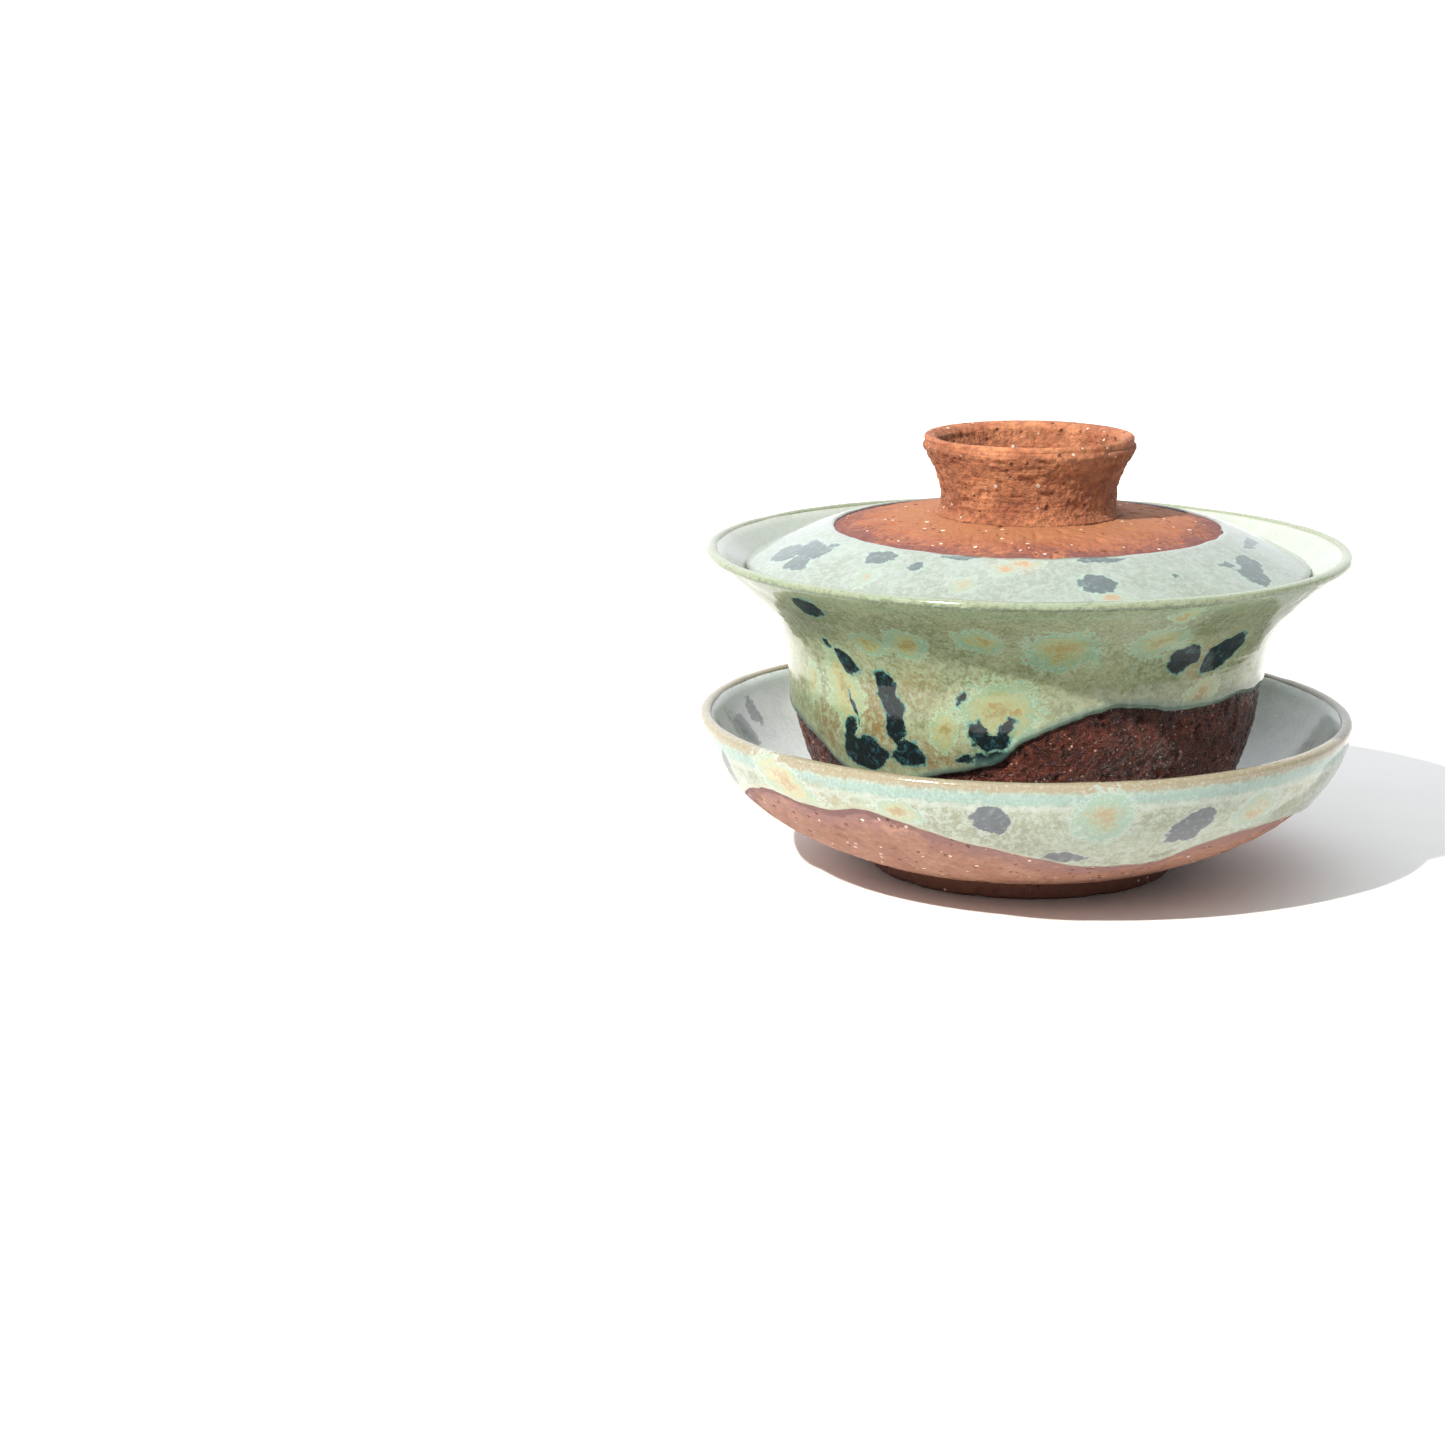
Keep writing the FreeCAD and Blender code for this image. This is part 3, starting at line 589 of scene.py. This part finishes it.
# pit is the darker colour painted into the pits as painted shade
knobClayLook = {"dark": "#95573b", "light": "#ba7a55", "sandDark": 0.62, "sandLight": 1.24, "sandSize": 1.0,
                "flush": "#7b4a3a", "flushWidth": 0.5, "flushStrength": 0.0, "flushGrain": 0.5,
                "foot": "#a9714d", "footStart": 90, "footFade": 0.6, "grog": "#dccabc", "grogGap": 1.35,
                "grogSize": 0.27, "grogShare": 0.22, "pit": "#79432d", "pitGap": 1.2, "pitShare": 0.12,
                "grit": 2.2, "turning": 0.8, "bumpDepth": 0.5, "rough": 0.75}
lidClayLook = dict(knobClayLook, dark="#8c5036", light="#9c6347", sandDark=0.8, flush="#6b4340",
                   flushWidth=6.0, flushStrength=0.85, flushGrain=3.5, foot="#a06946", footStart=23.5,
                   footFade=5.0, grogShare=0.24, pitShare=0.1, grit=1.6, turning=0.4, bumpDepth=0.22)
# the saucer's darker foot colour is painted shade under the saucer's overhang
saucerClayLook = dict(lidClayLook, dark="#8e6352", light="#9e7765", sandDark=0.86, flush="#846464",
                      flushStrength=0.8, flushGrain=2.0, foot="#6d4535", footStart=37.2, footFade=0.6,
                      grogShare=0.2, pit="#6b392e", pitShare=0.2, grit=1.0, turning=0.6, bumpDepth=0.16)
# the cup's many bright grog specks are partly painted highlights: they stand for glints on its sparkling
# grains
cupClayLook = dict(lidClayLook, dark="#53281f", light="#773f31", sandDark=0.35, sandLight=1.8,
                   flush="#36201c", flushStrength=0.7, flushWidth=3.5, flushGrain=1.5, foot="#5f3025",
                   footFade=0.6, footStart=90, grog="#e4b9a6", grogShare=0.5, grogGap=1.0, grogSize=0.22,
                   pit="#1f0f0c", pitShare=0.2, grit=3.2, turning=0.3, bumpDepth=1.0, rough=0.28)
knobClayMaterial = makeStoneware("knobBareStoneware", knobClayLook)
lidClayMaterial = makeStoneware("lidBareStoneware", lidClayLook)
saucerClayMaterial = makeStoneware("saucerBareStoneware", saucerClayLook)
cupClayMaterial = makeStoneware("cupBareStoneware", cupClayLook)
print("glazes and clays ready")


# Saucer

saucerOutline = outlineOf(sectionOf("saucer_body"), "top")
saucerGlazeSize = {
    "thickness": 0.45, "lipThinning": 0.35, "bead": 0.12, "edgeRound": 0.5, "ripple": 0.07, "bite": 0.12,
    "lap": 1.3, "wobble": 0.3, "rows": 62, "segments": 720,
    "run": [
        (-90, 12.4), (-68, 11.0), (-58, 8.0), (-50, 6.2), (-43, 7.0), (-37, 7.1), (-26, 6.4), (-19, 7.6),
        (-12, 9.4), (-5, 11.0), (2, 12.6), (12, 14.6), (20, 14.9), (28, 14.6), (34, 12.4), (40, 11.2),
        (50, 10.6), (62, 10.9), (90, 13.4), (120, 10.1), (150, 12.4), (180, 15.0), (205, 12.4), (235, 9.4)],
    "marks": [
        ("spot", -5.3, 19.8, 2.8, 2.5, 10, 0, 0), ("eye", 13.8, 20.4, 4.8, 5.0, 0, 0.3, 0),
        ("spot", 31.2, 18.3, 3.5, 2.5, 40, 0, 0), ("spot", 28.6, 16.7, 2.6, 2.1, 30, 0, 0),
        ("spot", 6.9, 13.2, 4.5, 1.3, 0, 0, 0), ("eye", 44.2, 18.4, 5.4, 3.4, 15, 0.5, 0.5),
        ("eye", -44.1, 21.6, 8.0, 3.1, -22, 0.35, 1), ("eye", -20.9, 20.2, 4.2, 1.8, -8, 0.25, 0.6),
        ("spot", -64, 20.5, 1.3, 3.6, 10, 0, 0), ("eye", 75, 19.5, 4.5, 4.0, 0, 0.8, 0),
        ("spot", 98, 19.0, 2.6, 2.0, 20, 0, 0), ("eye", 128, 20.5, 4.8, 3.6, 0, 0.9, 0.2),
        ("spot", 150, 18.5, 3.2, 1.8, -20, 0, 0), ("eye", 172, 19.0, 4.2, 4.2, 0, 0.7, 0),
        ("spot", -160, 17.0, 2.0, 2.2, 0, 0, 0), ("eye", -136, 20.0, 5.5, 3.0, 10, 0.6, 0.7),
        ("spot", -112, 20.5, 2.8, 1.6, 25, 0, 0), ("eye", -88, 19.5, 4.2, 3.4, 0, 0.8, 0),
        ("rust", -36, 20.0, 9.0, 4.0, -12, 0.5, 0), ("rust", 56, 19.0, 7.0, 4.0, 0, 0.4, 0)]}
saucerLinerSize = {
    "thickness": 0.4, "start": 0.2, "ripple": 0.07, "bite": 0.12, "rows": 110, "segments": 560,
    "marks": [
        ("rust", -98, 19.0, 3.4, 5.5, 8, 1, 0), ("rust", -84, 18.0, 4.0, 4.0, -12, 0.9, 0),
        ("rust", -72, 17.0, 3.0, 3.6, 20, 0.6, 0), ("spot", -109, 20.8, 1.9, 2.4, 12, 0, 0),
        ("spot", -101, 18.8, 2.5, 3.2, 12, 0, 0), ("spot", -90, 17.6, 1.6, 3.2, -8, 0, 0),
        ("spot", -82, 20.0, 1.0, 2.0, 0, 0, 0), ("rust", 96, 18.0, 4.5, 3.5, 0, 0.5, 0)]}
saucerClaySize = {
    "segments": 700, "rings": [(saucerOutline["outside"], 1.6), (55, 0.5), (9, 3.0), (0, 0.8), (-3, 4.0),
                               (saucerOutline["inside"], 4.0)],
    "throwing": 0.05, "throwingPerMm": 1.1, "grit": 0.035, "gritSize": 0.9, "pits": 0.5, "pitSize": 1.6}


def saucerLine(azimuth):
    return alongAtDrop(saucerOutline, lineAround(saucerGlazeSize["run"], azimuth))


def thrownRelief(size):
    # throwing and turning marks that run round, plus grit that stands out of the bare clay
    def relief(points, along, turn, edge):
        bare = np.clip(edge / 1.2, 0, 1)
        ringAt = np.column_stack([np.cos(turn) * 0.5, np.sin(turn) * 0.5, along * size["throwingPerMm"]])
        rings = grain(ringAt, 1.0, 2, 8)
        grit = grain(points, size["gritSize"], 2, 9)
        pits = np.clip(grain(points, size["pitSize"], 1, 10) - 0.42, 0, 1)
        return bare * (size["throwing"] * rings + size["grit"] * grit - size["pits"] * pits)
    return relief


saucerClay = makeClay("saucerClay", saucerOutline, saucerClaySize, thrownRelief(saucerClaySize), saucerLine)
saucerGlaze = makeCoat("saucerGlaze", saucerOutline, saucerGlazeSize)
saucerLiner = makeLiner("saucerLiner", saucerOutline, saucerLinerSize)
print("saucer made")


# Cup

cupOutline = outlineOf(sectionOf("cup_body"), "top")
cupGlazeSize = {
    "thickness": 0.45, "lipThinning": 0.35, "bead": 0.2, "edgeRound": 0.5, "ripple": 0.09, "bite": 0.12,
    "lap": 1.3, "wobble": 0.35, "rows": 110, "segments": 640,
    "run": [
        (-90, 25.4), (-70, 26.5), (-57, 29.4), (-45, 32.9), (-32, 33.4), (-20, 29.9), (-11, 28.2),
        (-4, 26.6), (-1, 24.4), (3, 23.1), (9, 21.4), (15, 19.9), (20, 19.1), (26, 19.0), (35, 19.8),
        (45, 20.1), (62, 20.0), (90, 21.4), (120, 25.4), (150, 22.4), (180, 26.4), (210, 28.4),
        (245, 23.4)],
    "marks": [
        ("spot", -43.1, 48.7, 2.7, 2.6, -15, 0, 0), ("spot", -43.6, 39.0, 2.7, 1.6, -35, 0, 0),
        ("spot", -33.2, 35.4, 1.9, 3.3, 18, 0, 0), ("spot", -31.2, 31.2, 2.2, 4.4, 8, 0, 0),
        ("spot", -40.2, 24.4, 4.6, 2.9, 0, 0, 0), ("spot", -45.0, 27.6, 1.2, 2.2, -20, 0, 0),
        ("spot", -28.0, 25.0, 2.7, 2.4, 0, 0, 0), ("spot", -10.6, 30.0, 1.6, 1.5, 60, 0, 0),
        ("spot", -7.4, 28.7, 2.7, 1.1, 15, 0, 0), ("spot", -4.2, 31.0, 1.8, 0.8, 50, 0, 0),
        ("spot", -6.4, 26.4, 3.0, 1.0, 12, 0, 0), ("spot", -13.0, 25.9, 1.6, 0.6, 10, 0, 0),
        ("spot", 36.1, 41.3, 2.8, 2.5, 50, 0, 0), ("spot", 48.2, 42.0, 4.3, 3.3, 48, 0, 0),
        ("spot", 46.2, 40.0, 2.4, 2.0, 20, 0, 0), ("spot", -43.6, 31.6, 0.25, 2.8, 24, 0, 0),
        ("spot", -48.5, 41.4, 0.9, 0.9, 0, 0, 0), ("spot", -14.4, 35.4, 0.6, 0.8, 0, 0, 0),
        ("eye", 7.5, 44.6, 5.9, 5.0, 0, 0.6, 0), ("eye", -8.7, 46.0, 3.4, 3.2, 0, 0.4, 0),
        ("eye", -24.5, 44.3, 3.6, 3.4, 0, 0.55, 0), ("eye", -34.7, 43.3, 3.3, 2.3, 0, 0, 0),
        ("eye", 27.3, 45.3, 4.6, 4.0, 0, 0.3, 0.2), ("eye", 28.6, 50.2, 2.6, 1.7, 0, 0.4, 0.4),
        ("eye", -5.5, 33.6, 6.4, 5.5, 8, 0, 0.2), ("eye", -6.9, 34.3, 2.7, 2.7, 0, 1, 0.9),
        ("eye", -2.1, 33.3, 2.0, 1.9, 0, 1, 0.9), ("eye", -4.2, 30.9, 1.8, 1.5, 0, 1, 1),
        ("eye", 43.9, 34.7, 4.0, 2.3, 18, 1, 1), ("eye", -18.3, 29.9, 2.1, 3.4, 0, 0.15, 0.6),
        ("eye", -46.4, 34.2, 4.0, 6.8, 12, 0.3, 0.7), ("eye", -58.6, 34.0, 2.2, 3.2, 0, 0.1, 0.5),
        ("rust", -36.5, 29.0, 5.0, 9.0, 5, 1, 0), ("rust", -20.0, 25.0, 7.0, 4.5, 0, 0.8, 0),
        ("rust", -25.0, 37.0, 5.5, 6.0, 0, 0.5, 0), ("rust", 42, 40.5, 3.5, 5.0, 20, 0.8, 0),
        ("rust", -54, 27, 5.0, 5.0, 0, 0.8, 0), ("rust", -12, 31, 4, 4, 0, 0.5, 0),
        ("spot", 78, 38, 2.2, 3.4, 20, 0, 0), ("eye", 92, 45, 4.2, 3.4, 0, 0.6, 0),
        ("eye", 112, 37, 3.6, 4.4, 0, 0.7, 0.3), ("spot", 130, 43, 1.8, 3.2, -15, 0, 0),
        ("eye", 146, 46, 3.6, 2.6, 0, 0.4, 0), ("spot", 160, 33, 3.0, 2.2, 0, 0, 0),
        ("spot", 166, 36.5, 1.5, 3.0, 25, 0, 0), ("eye", 178, 41, 4.6, 4.0, 0, 0.6, 0.2),
        ("rust", 163, 31, 6, 5, 0, 0.8, 0), ("eye", -162, 46, 3.0, 2.4, 0, 0.5, 0),
        ("spot", -150, 38, 1.8, 4.2, 10, 0, 0), ("eye", -132, 34, 4.4, 5.0, 10, 0.7, 0.4),
        ("spot", -118, 44, 2.7, 1.8, -30, 0, 0), ("spot", -108, 31, 2.4, 2.6, 0, 0, 0),
        ("rust", -110, 32, 5, 5, 0, 0.8, 0), ("eye", -98, 45, 3.8, 3.0, 0, 0.5, 0.1),
        ("eye", -78, 40, 3.0, 3.6, 0, 0.4, 0.2)]}
cupLinerSize = {
    "thickness": 0.4, "start": 0.2, "ripple": 0.07, "bite": 0.12, "rows": 130, "segments": 480,
    "marks": [
        ("spot", 150, 47.5, 1.6, 0.9, 0, 0, 0), ("spot", -128, 49.0, 2.0, 1.0, 15, 0, 0)]}
cupClaySize = {
    "segments": 600, "rings": [(cupOutline["outside"], 1.6), (74, 0.5), (17, 3.0), (0, 0.8), (-3, 4.0),
                               (cupOutline["inside"], 4.0)],
    "throwing": 0.05, "throwingPerMm": 1.0, "grit": 0.11, "gritSize": 0.85, "pits": 0.4, "pitSize": 1.5}


def cupLine(azimuth):
    return alongAtDrop(cupOutline, lineAround(cupGlazeSize["run"], azimuth))


cupClay = makeClay("cupClay", cupOutline, cupClaySize, thrownRelief(cupClaySize), cupLine)
cupGlaze = makeCoat("cupGlaze", cupOutline, cupGlazeSize)
cupLiner = makeLiner("cupLiner", cupOutline, cupLinerSize)
print("cup made")


# Lid

lidOutline = outlineOf(sectionOf("lid_body"), "edge", outsideFirst=False)
lidLineAlong = alongAt(lidOutline, 31.2, "radius")
lidGlazeSize = {
    "thickness": 0.42, "lipThinning": 0.25, "bead": 0.08, "edgeRound": 0.45, "ripple": 0.05, "bite": 0.12,
    "lap": 1.2, "wobble": 0.12, "rows": 46, "segments": 640,
    "run": [(azimuth, lidLineAlong) for azimuth in range(0, 360, 45)],
    "marks": [
        ("spot", -72.5, 39.6, 3.6, 2.8, 8, 0, 0), ("spot", -65.0, 36.9, 4.2, 2.2, 8, 0, 0),
        ("spot", -62.0, 40.4, 3.2, 2.0, 8, 0, 0), ("spot", -60.5, 34.6, 1.6, 1.0, 0, 0, 0),
        ("spot", -40.1, 34.7, 3.0, 2.0, 0, 0, 0), ("spot", -28.0, 35.9, 1.2, 1.1, 0, 0, 0),
        ("spot", 16.3, 38.7, 3.0, 2.4, 0, 0, 0), ("spot", 58.0, 41.0, 3.0, 2.6, 10, 0, 0),
        ("spot", 62.5, 38.6, 2.8, 2.2, 0, 0, 0), ("spot", 55.0, 37.6, 1.4, 1.0, 0, 0, 0),
        ("spot", 19.8, 32.7, 3.9, 0.9, 0, 0, 0), ("spot", -17.8, 32.2, 3.4, 0.6, 0, 0, 0),
        ("eye", -5.3, 34.9, 2.2, 2.2, 0, 1, 0.6), ("eye", -0.7, 33.0, 3.6, 2.0, 0, 1, 1),
        ("eye", -37.7, 39.9, 2.6, 2.2, 0, 0.6, 0.1), ("spot", 36.9, 38.0, 0.6, 0.6, 0, 0, 0),
        ("spot", 80.7, 35.4, 5.0, 1.0, 0, 0, 0), ("eye", 18, 42.0, 2.8, 1.8, 0, 0.7, 0.4),
        ("eye", 104, 38, 3, 2.4, 0, 0.8, 0), ("eye", -14, 39.5, 2.4, 2.0, 0, 0.2, 0.5),
        ("rust", -2, 34, 6, 3, 0, 0.6, 0), ("spot", 128, 36, 3.2, 1.9, 10, 0, 0),
        ("eye", 152, 39, 3.0, 2.2, 0, 0.7, 0.3), ("spot", 176, 40, 2.4, 1.6, 0, 0, 0),
        ("spot", -152, 35, 3.4, 1.5, -8, 0, 0), ("eye", -128, 38.5, 3.0, 2.4, 0, 0.8, 0),
        ("spot", -100, 37, 2.6, 1.8, 0, 0, 0)]}
lidUnderSize = {
    "thickness": 0.4, "start": 0.2, "ripple": 0.04, "bite": 0.12, "rows": 80, "segments": 400,
    "marks": []}
lidClaySize = {
    "segments": 640, "rings": [(lidOutline["outside"], 0.6), (lidLineAlong - 1.5, 3.0), (0, 0.8), (-3, 4.0),
                               (lidOutline["inside"], 4.0)],
    "throwing": 0.06, "throwingPerMm": 0.9, "grit": 0.05, "gritSize": 0.8, "pits": 0.5, "pitSize": 1.4}


def lidLine(azimuth):
    return np.full(len(azimuth), lidLineAlong)


lidClay = makeClay("lidClay", lidOutline, lidClaySize, thrownRelief(lidClaySize), lidLine)
lidGlaze = makeCoat("lidGlaze", lidOutline, lidGlazeSize, "radius")
lidUnder = makeLiner("lidUnder", lidOutline, lidUnderSize)


# Knob

def openKnobOutline():
    # up the outside, over the rolled lip and down the bore, without the flat underneath
    loop = sectionOf("lid_knob")
    standing = loop[:, 1] > loop[:, 1].min() + 0.01
    foot = loop[~standing]
    return np.vstack([foot[np.argmax(foot[:, 0])], loop[standing], foot[np.argmin(foot[:, 0])]])


knobOutline = outlineOf(openKnobOutline(), "top")
# lipFlare, underLip and waist are (depth, place down the outline, width) in mm
knobSize = {
    "segments": 460, "rings": [(knobOutline["outside"], 0.26), (0, 0.26), (knobOutline["inside"], 0.26)],
    "smoothLip": 1.6, "tears": 0.17, "grit": 0.09, "pits": 0.45, "wobble": 0.04, "fillet": 1.3,
    "filletHeight": 0.8, "lipFlare": (0.3, 0.7, 0.5), "underLip": (0.55, 1.7, 0.65),
    "waist": (0.3, 7.5, 3.0)}


def swell(along, depth, place, width):
    return depth * np.exp(-((along - place) / width) ** 2)


def knobRelief(points, along, turn, edge):
    # dragged tears that run round, grit between them, and a thumbed lip that is nearly smooth
    dragged = np.column_stack([np.cos(turn) * 4.2, np.sin(turn) * 4.2, along * 1.1])
    torn = grain(dragged, 1.0, 4, 11)
    torn = np.where(torn > 0, torn * 0.5, torn)
    grit = grain(points, 0.8, 2, 12)
    pits = np.clip(grain(points, 1.1, 1, 13) - 0.4, 0, 1)
    soft = grain(np.column_stack([np.cos(turn), np.sin(turn), along * 0.05]), 0.9, 2, 14)
    rough = np.clip((np.abs(along) - knobSize["smoothLip"]) / 0.7, 0.1, 1)
    height = points[:, 2] - points[:, 2].min()
    fillet = knobSize["fillet"] * np.exp(-(height / knobSize["filletHeight"]) ** 1.2)
    flare = swell(along, *knobSize["lipFlare"])
    groove = swell(along, *knobSize["underLip"])
    waist = swell(along, *knobSize["waist"])
    return (rough * (knobSize["tears"] * torn + knobSize["grit"] * grit - knobSize["pits"] * pits)
            + knobSize["wobble"] * soft + fillet + flare - groove - waist)


knobClay = makeClay("knobClay", knobOutline, knobSize, knobRelief, closed=True)
print("lid and knob made")


# What each new piece stands for, what it rides on, and its finish
finished = [(saucerClay, "saucer", "saucer_body", "saucer_clay", saucerClayMaterial),
            (saucerGlaze, "saucer", "saucer_outer_glaze", "saucer_glaze", saucerGlazeMaterial),
            (saucerLiner, "saucer", "saucer_liner_glaze", "liner_glaze", linerMaterial),
            (cupClay, "cup", "cup_body", "cup_clay", cupClayMaterial),
            (cupGlaze, "cup", "cup_outer_glaze", "cup_glaze", cupGlazeMaterial),
            (cupLiner, "cup", "cup_liner_glaze", "liner_glaze", cupLinerMaterial),
            (lidClay, "lid", "lid_body", "lid_clay", lidClayMaterial),
            (lidGlaze, "lid", "lid_outer_glaze", "lid_glaze", lidGlazeMaterial),
            (lidUnder, "lid", "lid_under_glaze", "liner_glaze", lidGlazeMaterial),
            (knobClay, "lid", "lid_knob", "knob_clay", knobClayMaterial)]
for piece, body, node, slot, material in finished:
    piece.data.materials.append(material)
    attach(piece, body)
    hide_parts(node)
    print(piece.name, len(piece.data.polygons), "faces")


# Floor, light and camera
studio = {
    "floorSide": 80.0, "floorColour": "#f8f7f5", "floorMottle": "#efeeec", "worldColour": "#f8fbff",
    "horizon": 0.2, "zenith": 1.22, "darkSide": (0.93, 0.37, 0), "darkShare": 0.26, "brightSide": (0, 1, 0),
    "brightGlow": 1.1, "keyPlace": (-0.447, -0.593, 0.669), "keyAngle": 1.6, "keyStrength": 5.7,
    "keyColour": "#fffaf2", "cameraPlace": (0, -0.5249, 0.1412), "cameraPitch": 77.286, "cameraTurn": 5.398,
    "cameraLens": 81.3, "cameraSensor": 36, "cameraNear": 0.01}


def makeFloor():
    # matt painted board: even white, faintly mottled by the roller
    sheet = bmesh.new()
    bmesh.ops.create_grid(sheet, x_segments=1, y_segments=1, size=studio["floorSide"] / 2)
    mesh = bpy.data.meshes.new("studioFloor")
    sheet.to_mesh(mesh)
    sheet.free()
    floor = bpy.data.objects.new("studioFloor", mesh)
    bpy.context.scene.collection.objects.link(floor)
    material, tree = newMaterial("mattPaintedBoard")
    place = addNode(tree, "TexCoord")[3]
    mottle = addNode(tree, "TexNoise", {0: place, 2: 30, 3: 3})[0]
    colour = addNode(tree, "Mix", {0: mottle, 6: studio["floorColour"], 7: studio["floorMottle"]},
                     data_type="RGBA")[2]
    shader = addNode(tree, "BsdfPrincipled", {"Base Color": colour, "Roughness": 0.85})[0]
    addNode(tree, "OutputMaterial", {0: shader})
    mesh.materials.append(material)
    return floor


makeFloor()

world = bpy.data.worlds.new("studioAir")
bpy.context.scene.world = world
world.use_nodes = True
air = world.node_tree
air.nodes.clear()
toward = addNode(air, "TexCoord")[0]
overhead = addNode(air, "VectorMath", {0: toward, 1: (0, 0, 1)}, operation="DOT_PRODUCT")[1]
overhead = addNode(air, "MapRange", {0: overhead, 3: studio["horizon"], 4: studio["zenith"]})[0]
aside = addNode(air, "VectorMath", {0: toward, 1: studio["darkSide"]}, operation="DOT_PRODUCT")[1]
aside = addNode(air, "MapRange", {0: aside, 1: 0.0, 2: 0.8, 3: 1.0, 4: studio["darkShare"]},
                interpolation_type="SMOOTHSTEP")[0]
glow = addNode(air, "Math", {0: overhead, 1: aside}, operation="MULTIPLY")[0]
behind = addNode(air, "VectorMath", {0: toward, 1: studio["brightSide"]}, operation="DOT_PRODUCT")[1]
behind = addNode(air, "MapRange", {0: behind, 1: 0.2, 2: 0.75, 4: studio["brightGlow"]},
                 interpolation_type="SMOOTHSTEP")[0]
glow = addNode(air, "Math", {0: glow, 1: behind})[0]
addNode(air, "OutputWorld", {0: addNode(air, "Background", {0: studio["worldColour"], 1: glow})[0]})

key = bpy.data.lights.new("keyPanel", "SUN")
key.angle = math.radians(studio["keyAngle"])
key.energy = studio["keyStrength"]
key.color = hexColour(studio["keyColour"])[:3]
keyPanel = bpy.data.objects.new("keyPanel", key)
keyPanel.location = studio["keyPlace"]
keyPanel.rotation_euler = (-Vector(studio["keyPlace"])).to_track_quat("-Z", "Y").to_euler()
bpy.context.scene.collection.objects.link(keyPanel)

camera = bpy.data.cameras.new("camera")
camera.lens = studio["cameraLens"]
camera.sensor_width = studio["cameraSensor"]
camera.clip_start = studio["cameraNear"]
cameraStand = bpy.data.objects.new("camera", camera)
cameraStand.location = studio["cameraPlace"]
cameraStand.rotation_euler = (math.radians(studio["cameraPitch"]), 0, math.radians(studio["cameraTurn"]))
bpy.context.scene.collection.objects.link(cameraStand)
bpy.context.scene.camera = cameraStand
bpy.context.scene.view_settings.view_transform = "Standard"
print("studio ready")
